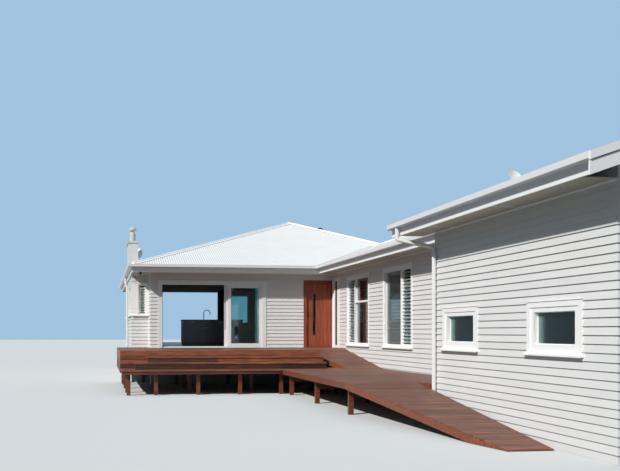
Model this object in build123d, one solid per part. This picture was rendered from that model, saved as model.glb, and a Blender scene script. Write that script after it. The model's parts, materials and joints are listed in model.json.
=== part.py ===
from build123d import *
import math
import os

# Beach house, in millimetres. X runs west to east along the entrance front, Y runs from
# the near gable towards the sea, Z is up from the lowest point of the ground.
# The house is laid out from the south-west corner of the main block and then moved so
# that the origin is the bottom centre of everything.

# Levels
lower_deck_top = 684
deck_top = 1183
floor_step = 40
soffit_level = 3668
gutter_lip_level = 3875

# Plan
main_width = 10370
main_depth = 12000
mid_wall_x = 6150
near_wall_x = 4950
mid_length = 11320
near_length = 5710
wall = 140
floor_thickness = 200
lining_thickness = 12
panel_joint = 0.5
cut_margin = 1

# Roof
eave_overhang = 650
gutter_width = 125
gutter_height = 100
gutter_sheet = 4
gutter_back_height = 76
gutter_stop_height = 60
gutter_bead = 14
fascia_thickness = 30
fascia_drop = 38
gutter_chamfer = 18
roof_rise = 0.343
roof_drop = 40
roof_thickness = 60
roof_skirt = 300
roof_margin = 400
sheet_overhang = 50
apex_x = 6040
gable_overhang = 590
return_overhang = 680
barge_thickness = 30
barge_board_depth = 170
barge_cap_depth = 105
barge_cap_proud = 18
barge_reveal = 12
barge_above_roof = 35
cap_radius = 55
cap_from_eave = 60
ridge_lap = 200
apex_knob_radius = 77
apex_knob_height = 90

# Bay on the west wall
bay_depth = 580
bay_start = 980
bay_length = 5930
bay_sill = 2290
bay_head = 3320
bay_side_light_width = 270
bay_side_light_inset = 100
bay_side_light_edge = 12
bay_light_widths = (2450, 600)
bay_light_margin = 300
bay_light_divide = 1200

# Doors and windows
facing_cover = 60
facing_proud = 34
jamb = 50
sash = 45
sash_depth = 60
glass = 8
sill_proud = 70
sill_height = 40
sill_fall = 14
sill_end = 30
sash_step = 16
window_body = 80

slider_x = 290
slider_width = 3495
slider_head = 3347
slider_jamb = 78
slider_panel_lap = 41
slider_stack_step = 60
panel_thickness = 40
panel_gap = 8
panel_stile = 85
panel_clearance = 6
track_height = 5.5
track_width = 8
roller_length = 90
roller_from_edge = 60
roller_housing = 8
roller_clearance = 0.3
door_clearance = 5

entry_x = 5190
entry_head = 3383
entry_jamb = 42
entry_leaf = 45
entry_recess = 30
entry_light_width = 110
entry_light_from_edge = 215
entry_light_bottom = 1600
entry_light_top = 2980
hinge_pin_radius = 6
hinge_knuckle_radius = 11
hinge_knuckle_length = 40
hinge_play = 0.3
hinge_leaf_width = 45
hinge_leaf_thickness = 5
hinge_heights = (1450, 2300, 3130)

side_light_start = 140
side_light_width = 650
side_light_head = 3440
side_light_stile = 250
side_light_slot = 150

mid_window_sill = 1310
mid_window_head = 3395
mid_window_width = 2010
mid_window_from_corner = (3730, 7060)
louvre_width = 640
mid_mullion = 60
transom_level = 2620

near_window_sill = 1390
near_window_head = 2105
near_window_width = 1340
near_window_from_hall = (1780, 4900)
near_window_frame = 125
near_window_border = 34
near_light_raise = 20

rear_door_x = 420
rear_door_width = 3550
rear_panel_width = 800
rear_window_starts = (4530, 6600)
rear_window_widths = (900, 1800)
rear_window_sill = 2100
rear_window_heads = (3480, 3300)
east_window_width = 1500
east_window_head = 3300
east_windows_from_sea = (2800, 7600)
east_windows_from_corner = (2600, 7800)
east_window_from_hall = 2280

louvre_frame = 32
louvre_depth = 60
blade_pitch = 89
blade_width = 98
blade_thickness = 6
blade_tilt = 40

# Decks, steps and ramps
deck_west = -1095
deck_front = -3930
deck_east = 4620
landing_front = -1290
deck_thickness = 140
skirt = 25
skirt_bottom = 560
bearer_height = 190
bearer_width = 90
step_tops = (1020, 864, 684)
step_fronts = (-4290, -4640, -4990)
step_wests = (-374, -725, -1087)
tread_thickness = 40
stringer_thickness = 50
stringer_spacing = 1500
corner_gap = 200
lower_deck_west = 3290
lower_deck_past_hall = 700
ramp_gap = 130
upper_ramp_foot_x = 5130
lower_ramp_foot_x = 4110
lower_ramp_length = 5140
ramp_thickness = 140
ramp_toe = 25
post = 100
post_inset = 150
ramp_row_shares = (0.3, 0.62)
post_spacing = 1800
deck_rows = 3

# Chimney, dishes and pipes
chimney_x = -590
chimney_y = 4510
chimney_width = 370
chimney_length = 1300
chimney_top = 5110
chimney_cap = 90
chimney_cap_edge = 45
chimney_cap_overhang = 30
chimney_cap_taper = 60
flue_radius = 120
flue_top = 5525
flue_collar_top = 5585
flue_neck_radius = 78
cowl_bottom = 5664
cowl_rim = 5730
cowl_top = 5803
cowl_radius = 146
cowl_crown_radius = 60
dish_sheet = 6
dish_post_radius = 18
dish_boss_radius = 35
dish_boss_length = 80
dish_boss_seat = 56
# Each dish: middle x, y and z, rim radius, depth of the bowl, heading and tilt in degrees
west_dish = (-214, 6000, 4830, 255, 55, 250, 70)
hall_dish = (7585, -9490, 5195, 143, 34, 276, 57)
vent_x = 7242
vent_y = 5600
vent_radius = 55
vent_neck_top = 5870
vent_cowl_radius = 100
vent_cowl_rim = 5925
vent_top = 5957
vent_crown_radius = 60
pipe_radius = 42
pipe_wall_gap = 28
pipe_from_corner = 70
pipe_drop = 230
pipe_slant_drop = 180
pipe_bend = 50
outlet_from_corner = 450
west_pipe_y = 4200

# Kitchen island
island_x = 1300
island_y = 2110
island_width = 2100
island_depth = 900
island_height = 925
island_top_thickness = 40
island_overhang = 30
tap_x = 2060
tap_y = 2500
tap_radius = 14
tap_height = 350
tap_reach = 230
tap_spout = 60

# Worked-out sizes
floor_top = deck_top + floor_step
lip = eave_overhang + gutter_width
lip_west = -lip
lip_east = main_width + lip
lip_north = main_depth + lip
near_front = -mid_length - near_length
barge_front = near_front - gable_overhang
return_end = -mid_length + return_overhang
lower_deck_near = -mid_length + lower_deck_past_hall
lower_ramp_foot_y = lower_deck_near - lower_ramp_length
mid_window_starts = [-y for y in mid_window_from_corner]
near_window_starts = [-mid_length - y for y in near_window_from_hall]
east_window_starts = [main_depth - y for y in east_windows_from_sea]
east_window_starts += [-y for y in east_windows_from_corner]
east_window_starts.append(-mid_length - east_window_from_hall)
apex_y = main_depth / 2
roof_base = gutter_lip_level - roof_drop
apex_level = roof_base + roof_rise * (apex_x + lip)
wall_top = roof_base + roof_rise * lip - roof_thickness
gutter_back_level = gutter_lip_level - gutter_height + gutter_back_height + panel_joint
fascia_top = roof_base + roof_rise * gutter_width - roof_thickness
bay_end = bay_start + bay_length
front = barge_front - barge_cap_proud
frame_shift = Vector(-(deck_west + lip_east) / 2, -(front + lip_north) / 2, 0)

os.makedirs("parts", exist_ok=True)


def block(x0, x1, y0, y1, z0, z1):
    corner = Align.MIN
    return Pos(x0, y0, z0) * Box(x1 - x0, y1 - y0, z1 - z0, align=(corner, corner, corner))


def prism_along_y(points, y0, y1):
    """A section drawn in X and Z, carried from y0 to y1."""
    face = make_face(Polyline(*[(x, y0, z) for x, z in points], close=True))
    return extrude(face, amount=y1 - y0, dir=(0, 1, 0))


def prism_along_x(points, x0, x1):
    """A section drawn in Y and Z, carried from x0 to x1."""
    face = make_face(Polyline(*[(x0, y, z) for y, z in points], close=True))
    return extrude(face, amount=x1 - x0, dir=(1, 0, 0))


def prism_up(points, z0, z1):
    """An outline drawn on plan, carried from z0 up to z1."""
    face = make_face(Polyline(*[(x, y, z0) for x, y in points], close=True))
    return extrude(face, amount=z1 - z0, dir=(0, 0, 1))


def save(node, *solids):
    placed = Compound(children=[Pos(frame_shift) * s for s in solids])
    export_step(placed, f"parts/{node}.step")


# Roof masses: everything below a roof surface, dropped by the given depth

def main_mass(drop, out):
    low = soffit_level - roof_skirt
    west = -lip + gutter_width - out
    east = lip_east - gutter_width + out
    south = -lip + gutter_width - out
    north = lip_north - gutter_width + out
    east_rise = (apex_level - roof_base) / (lip_east - apex_x)
    north_rise = (apex_level - roof_base) / (lip_north - apex_y)
    south_rise = (apex_level - roof_base) / (apex_y + lip)
    top = apex_level - drop
    across = prism_along_y(
        [
            (west, low),
            (west, top - roof_rise * (apex_x - west)),
            (apex_x, top),
            (east, top - east_rise * (east - apex_x)),
            (east, low),
        ],
        south,
        north,
    )
    along = prism_along_x(
        [
            (south, low),
            (south, top - south_rise * (apex_y - south)),
            (apex_y, top),
            (north, top - north_rise * (north - apex_y)),
            (north, low),
        ],
        west,
        east,
    )
    return across & along


def gable_mass(lip_x, drop, out, y0, y1):
    low = soffit_level - roof_skirt
    west = lip_x + gutter_width - out
    east = lip_east - gutter_width + out
    ridge_x = (lip_x + lip_east) / 2
    top = roof_base + roof_rise * (ridge_x - lip_x) - drop
    points = [
        (west, low),
        (west, top - roof_rise * (ridge_x - west)),
        (ridge_x, top),
        (east, top - roof_rise * (east - ridge_x)),
        (east, low),
    ]
    return prism_along_y(points, y0, y1)


mid_lip = mid_wall_x - lip
near_lip = near_wall_x - lip
wide = roof_margin
main_outer = main_mass(0, sheet_overhang)
main_inner = main_mass(roof_thickness, wide)
mid_reach = apex_y
mid_outer = gable_mass(mid_lip, 0, sheet_overhang, -mid_length, mid_reach)
mid_inner = gable_mass(mid_lip, roof_thickness, wide, -mid_length - wide, mid_reach + wide)
mid_cover = gable_mass(mid_lip, 0, wide, -mid_length, mid_reach)
mid_loft = gable_mass(mid_lip, roof_thickness, sheet_overhang, -mid_length, mid_reach)
near_outer = gable_mass(
    near_lip, 0, sheet_overhang, barge_front + barge_thickness, return_end - barge_thickness
)
near_inner = gable_mass(near_lip, roof_thickness, wide, barge_front - wide, return_end + wide)


def make_roofs():
    # The hall roof runs into the main roof at two valleys, with no eave left in its loft.
    main_roof = (main_outer - main_inner) - mid_loft
    mid_shell = mid_outer - mid_inner
    mid_roof = mid_shell - main_outer
    near_roof = (near_outer - near_inner) - mid_cover
    main_roof = holes(main_roof, over_gutters(lip_west) + over_end_gutters())
    mid_roof = holes(mid_roof, over_gutters(mid_lip))
    near_roof = holes(near_roof, over_gutters(near_lip))
    save("main_roof", largest(main_roof))
    save("mid_roof", largest(mid_roof))
    save("near_roof", largest(near_roof))


def over_gutters(lip_x):
    """Room for the backs of the long gutters under the edge of the roof."""
    y0, y1 = front - wide, lip_north + wide
    return [
        block(lip_x - wide, lip_x + gutter_width, y0, y1, 0, gutter_back_level),
        block(lip_east - gutter_width, lip_east + wide, y0, y1, 0, gutter_back_level),
    ]


def over_end_gutters():
    """The same at the entrance and sea eaves of the main roof."""
    x0, x1 = lip_west - wide, lip_east + wide
    return [
        block(x0, x1, -lip - wide, -lip + gutter_width, 0, gutter_back_level),
        block(x0, x1, lip_north - gutter_width, lip_north + wide, 0, gutter_back_level),
    ]


def largest(shape):
    return max(shape.solids(), key=lambda s: s.volume)


def rolled_cap(start, end, cut):
    """Half-round ridge or hip capping from start to end, seated on the roof."""
    line = Line(start, end)
    ring = Plane(origin=start, z_dir=Vector(end) - Vector(start)) * Circle(cap_radius)
    return largest(sweep(ring, line) - cut)


def make_caps():
    apex = (apex_x, apex_y, apex_level)
    west, east = lip_west + gutter_width, lip_east - gutter_width
    south, north = west, lip_north - gutter_width
    east_rise = (apex_level - roof_base) / (lip_east - apex_x)
    west_corner_level = roof_base + roof_rise * gutter_width
    east_corner_level = roof_base + east_rise * gutter_width
    roofs = main_outer + mid_outer
    mid_ridge_x = (mid_lip + lip_east) / 2
    mid_ridge_level = roof_base + roof_rise * (mid_ridge_x - mid_lip)
    near_ridge_x = (near_lip + lip_east) / 2
    near_ridge_level = roof_base + roof_rise * (near_ridge_x - near_lip)
    mid_meets_main = (mid_ridge_level - roof_base) / roof_rise - lip
    hips = [
        ((west, south, west_corner_level), apex),
        ((west, north, west_corner_level), apex),
        ((east, north, east_corner_level), apex),
        ((east, south, east_corner_level), apex),
    ]
    caps = []
    for start, end in hips:
        start, end = Vector(*start), Vector(*end)
        step = (end - start).normalized()
        caps.append(rolled_cap(start + step * cap_from_eave, end - step * 2 * cap_radius, roofs))
    ridges = [
        (mid_ridge_x, return_end + barge_thickness, mid_meets_main - ridge_lap, mid_ridge_level, roofs),
        (near_ridge_x, front + cap_radius, return_end - cap_radius, near_ridge_level, near_outer),
    ]
    for x, y0, y1, z, under in ridges:
        caps.append(rolled_cap((x, y0, z), (x, y1, z), under))
    knob = Pos(apex_x, apex_y, apex_level) * Cylinder(apex_knob_radius, apex_knob_height)
    caps.append(largest(knob - roofs))
    save("roof_caps", *caps)


# Walls

def holes(solid, cuts):
    for cut in cuts:
        solid = solid - cut
    return solid


def make_walls():
    m = cut_margin
    inner_east = main_width - wall
    slider_end = slider_x + slider_width
    sill_walls = []
    head_walls = []
    # Entrance front: piers beside the doors, and the wall over and under them
    save(
        "south_wall_piers",
        block(0, slider_x, 0, wall, 0, wall_top),
        block(slider_end, entry_x, 0, wall, 0, wall_top),
    )
    head_walls.append(block(slider_x, slider_end, 0, wall, slider_head, wall_top))
    head_walls.append(block(entry_x, mid_wall_x, 0, wall, entry_head, wall_top))
    sill_walls.append(block(slider_x, slider_end, 0, wall, 0, deck_top))
    sill_walls.append(block(entry_x, mid_wall_x, 0, wall, 0, deck_top))
    # Sea front
    north_face = main_depth - wall
    rear_end = rear_door_x + rear_door_width
    rear_windows = [
        block(x, x + width, north_face - m, main_depth + m, rear_window_sill, head)
        for x, width, head in rear_lights()
    ]
    save(
        "north_wall_piers",
        block(0, rear_door_x, north_face, main_depth, 0, wall_top),
        holes(block(rear_end, main_width, north_face, main_depth, 0, wall_top), rear_windows),
    )
    head_walls.append(block(rear_door_x, rear_end, north_face, main_depth, soffit_level, wall_top))
    sill_walls.append(block(rear_door_x, rear_end, north_face, main_depth, 0, deck_top))
    save("door_head_walls", *head_walls)
    save("door_sill_walls", *sill_walls)
    # West wall each side of the bay, and over it
    save(
        "west_wall",
        block(0, wall, wall, bay_start, 0, wall_top),
        block(0, wall, bay_end, north_face, 0, wall_top),
        block(0, wall, bay_start + panel_joint, bay_end - panel_joint, soffit_level, wall_top),
    )
    # Bay
    bay_west = -bay_depth
    side_light = block(
        -bay_side_light_inset - bay_side_light_width,
        -bay_side_light_inset,
        bay_start - m,
        bay_start + wall + m,
        bay_sill,
        bay_head,
    )
    save(
        "bay_side_walls",
        block(bay_west, 0, bay_start, bay_start + wall, 0, soffit_level) - side_light,
        block(bay_west, 0, bay_end - wall, bay_end, 0, soffit_level),
    )
    bay_face = block(
        bay_west, bay_west + wall, bay_start + wall, bay_end - wall, 0, soffit_level
    )
    save(
        "bay_front_wall",
        holes(
            bay_face,
            [
                block(bay_west - m, bay_west + wall + m, y, y + width, bay_sill, bay_head)
                for y, width in bay_lights()
            ],
        ),
    )
    # Long east wall
    east_face = block(inner_east, main_width, near_front + wall, north_face, 0, wall_top)
    save(
        "east_wall",
        holes(
            east_face,
            [
                block(inner_east - m, main_width + m, y, y + east_window_width, z0, z1)
                for y, z0, z1 in east_lights()
            ],
        ),
    )
    # Hall wall with two tall windows and a side light
    hall = block(mid_wall_x, mid_wall_x + wall, -mid_length, wall, 0, wall_top)
    cuts = [
        block(
            mid_wall_x - m,
            mid_wall_x + wall + m,
            -side_light_start - side_light_width,
            -side_light_start,
            deck_top,
            side_light_head,
        )
    ]
    for y in mid_window_starts:
        cuts.append(
            block(
                mid_wall_x - m,
                mid_wall_x + wall + m,
                y,
                y + mid_window_width,
                mid_window_sill,
                mid_window_head,
            )
        )
    save("hall_wall", holes(hall, cuts))
    # Near wing
    back = -mid_length - wall
    near_face = block(near_wall_x, near_wall_x + wall, near_front + wall, back, 0, wall_top)
    cuts = [
        block(
            near_wall_x - m,
            near_wall_x + wall + m,
            y,
            y + near_window_width,
            near_window_sill,
            near_window_head,
        )
        for y in near_window_starts
    ]
    save("near_wall", holes(near_face, cuts))
    save("near_return_wall", block(near_wall_x, mid_wall_x + wall, back, -mid_length, 0, soffit_level))
    gable_room = near_inner
    gable = block(near_wall_x, main_width, near_front, near_front + wall, 0, apex_level) & gable_lower(
        gable_room, near_front
    )
    save("near_gable_wall", gable)
    infill = block(
        near_wall_x, main_width - wall, back, -mid_length, soffit_level + lining_thickness, apex_level
    ) & gable_lower(gable_room, back)
    save("near_back_gable", infill)


def gable_lower(room, y):
    """The part of a gable that lies under the roof, extended down to the ground."""
    lap = soffit_level - roof_skirt / 2
    under = room & block(near_wall_x, main_width, y, y + wall, lap, apex_level)
    return largest(under) + block(near_wall_x, main_width, y, y + wall, 0, soffit_level)


def bay_lights():
    """Start and width of each window, one each side of the fireplace."""
    first, last = bay_light_widths
    return (
        (bay_start + bay_light_margin, first),
        (bay_end - bay_light_margin - last, last),
    )


def rear_lights():
    """Start, width and head of each window on the sea side."""
    return list(zip(rear_window_starts, rear_window_widths, rear_window_heads))


def east_lights():
    rows = []
    for y in east_window_starts:
        if y > -mid_length:
            rows.append((y, rear_window_sill, east_window_head))
        else:
            rows.append((y, near_window_sill, near_window_head))
    return rows


# Floor, ceiling, soffits, fascias and gutters

def make_floor_and_ceiling():
    inner_east = main_width - wall
    rooms = [
        (wall, inner_east, wall + panel_joint, main_depth - wall),
        (mid_wall_x + wall, inner_east, -mid_length - wall + panel_joint, wall),
        (near_wall_x + wall, inner_east, near_front + wall, -mid_length - wall),
    ]
    bay_room = (-bay_depth + wall, wall - panel_joint, bay_start + wall, bay_end - wall)
    save("floor", *[block(*r, floor_top - floor_thickness, floor_top) for r in rooms + [bay_room]])
    save("ceiling", *[block(*r, soffit_level, soffit_level + lining_thickness) for r in rooms])


def eave_runs(inner, outer):
    """Plan rectangles of a strip that follows the eaves, from inner to outer off the wall."""
    j = panel_joint
    return {
        "south": (-outer, mid_wall_x - inner, -outer, -inner),
        "west": (-outer, -inner, -inner + j, main_depth + inner - j),
        "north": (-outer, main_width + outer, main_depth + inner, main_depth + outer),
        "east": (main_width + inner, main_width + outer, near_front, main_depth + inner - j),
        "hall": (mid_wall_x - outer, mid_wall_x - inner, -mid_length, -outer - j),
        "near": (near_wall_x - outer, near_wall_x - inner, near_front, return_end - barge_thickness),
    }


def make_soffits():
    inside = eave_overhang - fascia_thickness
    runs = eave_runs(0, inside)
    sheets = [block(*r, soffit_level, soffit_level + lining_thickness) for r in runs.values()]
    # Raking lining under the gable overhang
    for y0, y1 in ((barge_front + barge_thickness, near_front), (-mid_length, return_end - barge_thickness)):
        for sheet in raking_lining(y0, y1):
            sheets.append(sheet)
    save("soffits", *sheets)


def raking_lining(y0, y1):
    upper = gable_mass(near_lip, roof_thickness, 0, y0, y1)
    m = cut_margin
    lower = gable_mass(near_lip, roof_thickness + lining_thickness, wide, y0 - m, y1 + m)
    band = upper - lower
    ridge_x = (near_lip + lip_east) / 2
    keep = block(near_wall_x, ridge_x - panel_joint, y0, y1, soffit_level, apex_level)
    sides = [keep, block(ridge_x + panel_joint, main_width, y0, y1, soffit_level, apex_level)]
    pieces = [largest(band & side) for side in sides]
    if y0 >= -mid_length:
        pieces = [largest(pieces[0] - mid_cover)]
    return pieces


def make_fascias():
    inside = eave_overhang - fascia_thickness
    runs = eave_runs(inside, eave_overhang)
    east = list(runs["east"])
    near = list(runs["near"])
    east[2] = barge_front + barge_thickness
    near[2] = barge_front + barge_thickness
    runs["east"] = tuple(east)
    runs["near"] = tuple(near)
    low = soffit_level - fascia_drop
    save("fascias", *[block(*r, low, fascia_top) for r in runs.values()])


def channel(length, filled=False):
    """A box gutter along X: back at Y 0, lip at Y minus its width, open at the top."""
    w, h, s = gutter_width, gutter_height, gutter_sheet
    slope = gutter_chamfer
    back = gutter_back_height
    outer = [(0, 0), (0, back), (-s, back), (-s, s), (-w + slope, s), (-w + s, slope)]
    outer += [(-w + s, h - gutter_bead), (-w + gutter_bead, h - gutter_bead)]
    outer += [(-w + gutter_bead, h), (-w, h), (-w, slope - s), (-w + slope - s, 0)]
    if filled:
        stop = gutter_stop_height
        outer = [(0, 0), (0, stop), (-w + gutter_bead, stop), (-w + gutter_bead, h)] + outer[-3:]
    return prism_along_x(outer, 0, length)


def make_gutters():
    """Each run is mitred against its neighbour on plan; open runs have stop ends."""
    z = gutter_lip_level - gutter_height
    off, j = eave_overhang, panel_joint
    north = main_depth + off
    east = main_width + off
    hall, near = mid_wall_x - off, near_wall_x - off
    near_end = barge_front + barge_thickness
    far_end = return_end - barge_thickness
    hall_end = -mid_length
    w = gutter_width
    runs = [
        (0, [(-off + j, -off), (-lip + j, -lip), (hall - w - j, -lip), (hall - j, -off)], ()),
        (-90, [(hall, -off - j), (hall - w, -lip - j), (hall - w, hall_end), (hall, hall_end)], ()),
        (-90, [(near, far_end), (near - w, far_end), (near - w, near_end), (near, near_end)], (0, 1)),
        (90, [(east, near_end), (east + w, near_end), (east + w, north + w - j), (east, north - j)], (0,)),
        (180, [(east - j, north), (east + w - j, north + w), (-lip + j, north + w), (-off + j, north)], ()),
        (-90, [(-off, north - j), (-lip, north + w - j), (-lip, -lip + j), (-off, -off + j)], ()),
    ]
    gutters = []
    for turn, plan, stops in runs:
        xs, ys = [p[0] for p in plan], [p[1] for p in plan]
        along = xs if turn in (0, 180) else ys
        length = max(along) - min(along)
        run = channel(length)
        for stop in stops:
            run = run + Pos(stop * (length - gutter_sheet), 0, 0) * channel(gutter_sheet, True)
        x = {0: min(xs), 180: max(xs), 90: min(xs), -90: max(xs)}[turn]
        y = {0: max(ys), 180: min(ys), 90: min(ys), -90: max(ys)}[turn]
        placed = Pos(x, y, z) * Rot(0, 0, turn) * run
        gutters.append(placed & prism_up(plan, z - cut_margin, gutter_lip_level + cut_margin))
    save("gutters", *gutters)


def make_barges():
    m = cut_margin
    boards = []
    for y, facing in ((barge_front, 1), (return_end - barge_thickness, -1)):
        for depth, low, proud in (
            (barge_cap_depth, 0, barge_cap_proud),
            (barge_board_depth, barge_cap_depth + barge_reveal, 0),
        ):
            y0 = y - (proud if facing > 0 else 0)
            y1 = y + barge_thickness + (proud if facing < 0 else 0)
            top = gable_mass(near_lip, low - barge_above_roof, gutter_width, y0, y1)
            under = gable_mass(near_lip, low + depth - barge_above_roof, wide, y0 - m, y1 + m)
            band = top - under
            ridge_x = (near_lip + lip_east) / 2
            start = near_lip if facing > 0 else near_lip + gutter_width
            for x0, x1 in ((start, ridge_x - panel_joint), (ridge_x + panel_joint, lip_east)):
                board = band & block(x0, x1, y0, y1, 0, 2 * apex_level)
                if facing < 0:
                    board = board - mid_cover
                    if x0 > ridge_x:
                        continue
                boards.append(largest(board))
    save("barge_boards", *boards)


# Windows

def ring_across_x(x0, x1, y0, y1, z0, z1, border):
    """A frame with an even border that fills a box and is seen along X."""
    outer = block(x0, x1, y0, y1, z0, z1)
    m = cut_margin
    return outer - block(x0 - m, x1 + m, y0 + border, y1 - border, z0 + border, z1 - border)


def ring_across_y(x0, x1, y0, y1, z0, z1, border):
    """A frame with an even border that fills a box and is seen along Y."""
    outer = block(x0, x1, y0, y1, z0, z1)
    m = cut_margin
    return outer - block(x0 + border, x1 - border, y0 - m, y1 + m, z0 + border, z1 - border)


def west_window(
    face_x,
    y,
    width,
    z0,
    z1,
    lights,
    sill=True,
    border=0,
    covers=(facing_cover, facing_cover),
    horns=(sill_end, sill_end),
):
    """Frame in a wall whose outer face is at face_x and looks west.

    lights lists the clear openings as (y0, y1, z0, z1) measured from the corner. The sashes
    are set back one step from the facing, border inside the opening, over a sloping sill.
    covers gives how far the facing laps the wall at each side, and horns how far the sill
    passes the facing.
    """
    proud = facing_proud
    reach = window_body + sill_proud
    body = block(face_x, face_x + window_body, y, y + width, z0, z1)
    y0, y1 = y - covers[0], y + width + covers[1]
    facing = block(face_x - proud, face_x, y0, y1, z0, z1 + facing_cover)
    step = block(
        face_x - reach,
        face_x - proud + sash_step,
        y + border,
        y + width - border,
        z0 + border,
        z1 - border,
    )
    shape = body + (facing - step)
    if sill:
        front = face_x - sill_proud
        section = [
            (face_x, z0),
            (face_x - proud, z0),
            (front, z0 - sill_fall),
            (front, z0 - sill_height),
            (face_x, z0 - sill_height),
        ]
        shape = shape + prism_along_y(section, y0 - horns[0], y1 + horns[1])
    for a0, a1, b0, b1 in lights:
        shape = shape - block(face_x - reach, face_x + reach, y + a0, y + a1, z0 + b0, z0 + b1)
    return shape


def turned(shape, x, y, turn):
    return Pos(x, y, 0) * Rot(0, 0, turn) * shape


def louvre(width, height):
    """A cassette of tilted glass blades held between two stiles, seen along X from the west."""
    shape = ring_across_x(0, louvre_depth, 0, width, 0, height, louvre_frame)
    count = int((height - 2 * louvre_frame) / blade_pitch)
    spare = height - 2 * louvre_frame - count * blade_pitch
    for i in range(count):
        z = louvre_frame + spare / 2 + (i + 0.5) * blade_pitch
        slat = Box(blade_width, width - 2 * louvre_frame + 2 * cut_margin, blade_thickness)
        shape = shape + Pos(louvre_depth / 2, width / 2, z) * Rot(0, -blade_tilt, 0) * slat
    return shape


def make_windows():
    frames, panes, near_panes, blades = [], [], [], []
    set_back = sash_depth
    # Hall: side light by the entrance
    y = -side_light_start - side_light_width
    height = side_light_head - deck_top
    slot0 = side_light_width - side_light_stile - side_light_slot
    lights = [(slot0, slot0 + side_light_slot, jamb + sash, height - jamb)]
    frames.append(
        west_window(mid_wall_x, y, side_light_width, deck_top, side_light_head, lights, sill=False)
    )
    panes.append(pane(mid_wall_x + set_back, y, deck_top, lights[0]))
    # Hall: two tall windows, each with a louvred light at one side
    height = mid_window_head - mid_window_sill
    for y, louvre_first in zip(mid_window_starts, (False, True)):
        last = mid_window_width - jamb
        if louvre_first:
            slats = (jamb, jamb + louvre_width, jamb, height - jamb)
            lights = [slats, (slats[1] + mid_mullion, last, jamb, height - jamb)]
        else:
            slats = (last - louvre_width, last, jamb, height - jamb)
            fixed_end = slats[0] - mid_mullion
            split = transom_level - mid_window_sill
            lower = (jamb, fixed_end, jamb, split - sash / 2)
            upper = (jamb, fixed_end, split + sash / 2, height - jamb)
            lights = [slats, lower, upper]
        frames.append(
            west_window(mid_wall_x, y, mid_window_width, mid_window_sill, mid_window_head, lights)
        )
        for light in lights[1:]:
            panes.append(pane(mid_wall_x + set_back, y, mid_window_sill, light))
        cassette = louvre(louvre_width, height - 2 * jamb)
        blades.append(Pos(mid_wall_x, y + slats[0], mid_window_sill + jamb) * cassette)
    save("hall_window_frames", *frames)

    # Near wing
    frames = []
    edge = near_window_frame
    z0, z1 = near_window_sill, near_window_head
    width = near_window_width
    for y in near_window_starts:
        light = (edge, width - edge, edge, z1 - z0 - edge + near_light_raise)
        frames.append(
            west_window(near_wall_x, y, width, z0, z1, [light], border=near_window_border)
        )
        near_panes.append(pane(near_wall_x + set_back, y, z0, light))
    save("near_window_frames", *frames)

    # Bay front and its narrow side light
    frames = []
    height = bay_head - bay_sill
    for y, width in bay_lights():
        lights = [(jamb, width - jamb, jamb, height - jamb)]
        if width > bay_light_divide:
            half = (width - 2 * jamb - mid_mullion) / 2
            lights = [
                (jamb, jamb + half, jamb, height - jamb),
                (jamb + half + mid_mullion, width - jamb, jamb, height - jamb),
            ]
        frames.append(west_window(-bay_depth, y, width, bay_sill, bay_head, lights))
        for light in lights:
            panes.append(pane(-bay_depth + set_back, y, bay_sill, light))
    narrow = bay_side_light_width
    edge = bay_side_light_edge
    light = (edge, narrow - edge, edge, height - edge)
    # Its facing fills the side of the bay from the wall to the corner.
    covers = (bay_side_light_inset - panel_joint, bay_depth - bay_side_light_inset - narrow)
    frame = west_window(
        0, 0, narrow, bay_sill, bay_head, [light], covers=covers, horns=(0, sill_end)
    )
    x_end = -bay_side_light_inset - narrow
    frames.append(turned(frame, x_end + narrow, bay_start, 90))
    cassette = louvre(narrow - 2 * edge, height - 2 * edge)
    placed = Pos(0, edge, bay_sill + edge) * cassette
    blades.append(turned(placed, x_end + narrow, bay_start, 90))
    save("bay_window_frames", *frames)
    save("louvres", *blades)

    # Plain windows on the east and sea sides
    frames = []
    for y, z0, z1 in east_lights():
        light = (jamb, east_window_width - jamb, jamb, z1 - z0 - jamb)
        frame = west_window(0, 0, east_window_width, z0, z1, [light])
        frames.append(turned(frame, main_width, y + east_window_width, 180))
        panes.append(turned(pane(set_back, 0, z0, light), main_width, y + east_window_width, 180))
    z0 = rear_window_sill
    for x, width, z1 in rear_lights():
        light = (jamb, width - jamb, jamb, z1 - z0 - jamb)
        frame = west_window(0, 0, width, z0, z1, [light])
        frames.append(turned(frame, x, main_depth, -90))
        panes.append(turned(pane(set_back, 0, z0, light), x, main_depth, -90))
    save("rear_window_frames", *frames)
    panes.append(fixed_slider_pane())
    panes.append(rear_door_panel()[1])
    save("window_glass", *panes)
    save("near_window_glass", *near_panes)


def pane(x, y, z, light):
    y0, y1, z0, z1 = light
    return block(x, x + glass, y + y0, y + y1, z + z0, z + z1)


# Sliding doors: one fixed panel and two that stack behind it

def slider_sizes():
    clear_west = slider_x + slider_jamb
    clear_east = slider_x + slider_width - slider_jamb
    width = (clear_east - clear_west + 2 * slider_panel_lap) / 3
    return clear_west, clear_east, width


def track_y(track):
    return track * (panel_thickness + panel_gap)


def slider_panel(x, track, moving):
    """A glazed panel and its pane. Moving panels run on rollers over a track rib."""
    width = slider_sizes()[2]
    y = track_y(track)
    low = floor_top + (panel_clearance if moving else 0)
    high = slider_head - slider_jamb - (panel_clearance if moving else 0)
    frame = ring_across_y(x, x + width, y, y + panel_thickness, low, high, panel_stile)
    mid_y = y + panel_thickness / 2
    if moving:
        seat = floor_top + track_height + roller_clearance
        y0, y1 = mid_y - track_width, mid_y + track_width
        for rx in (x + roller_from_edge, x + width - roller_from_edge - roller_length):
            frame = frame + block(rx, rx + roller_length, y0, y1, seat, low + roller_housing)
    light = block(
        x + panel_stile,
        x + width - panel_stile,
        mid_y - glass / 2,
        mid_y + glass / 2,
        low + panel_stile,
        high - panel_stile,
    )
    return frame, light


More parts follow.
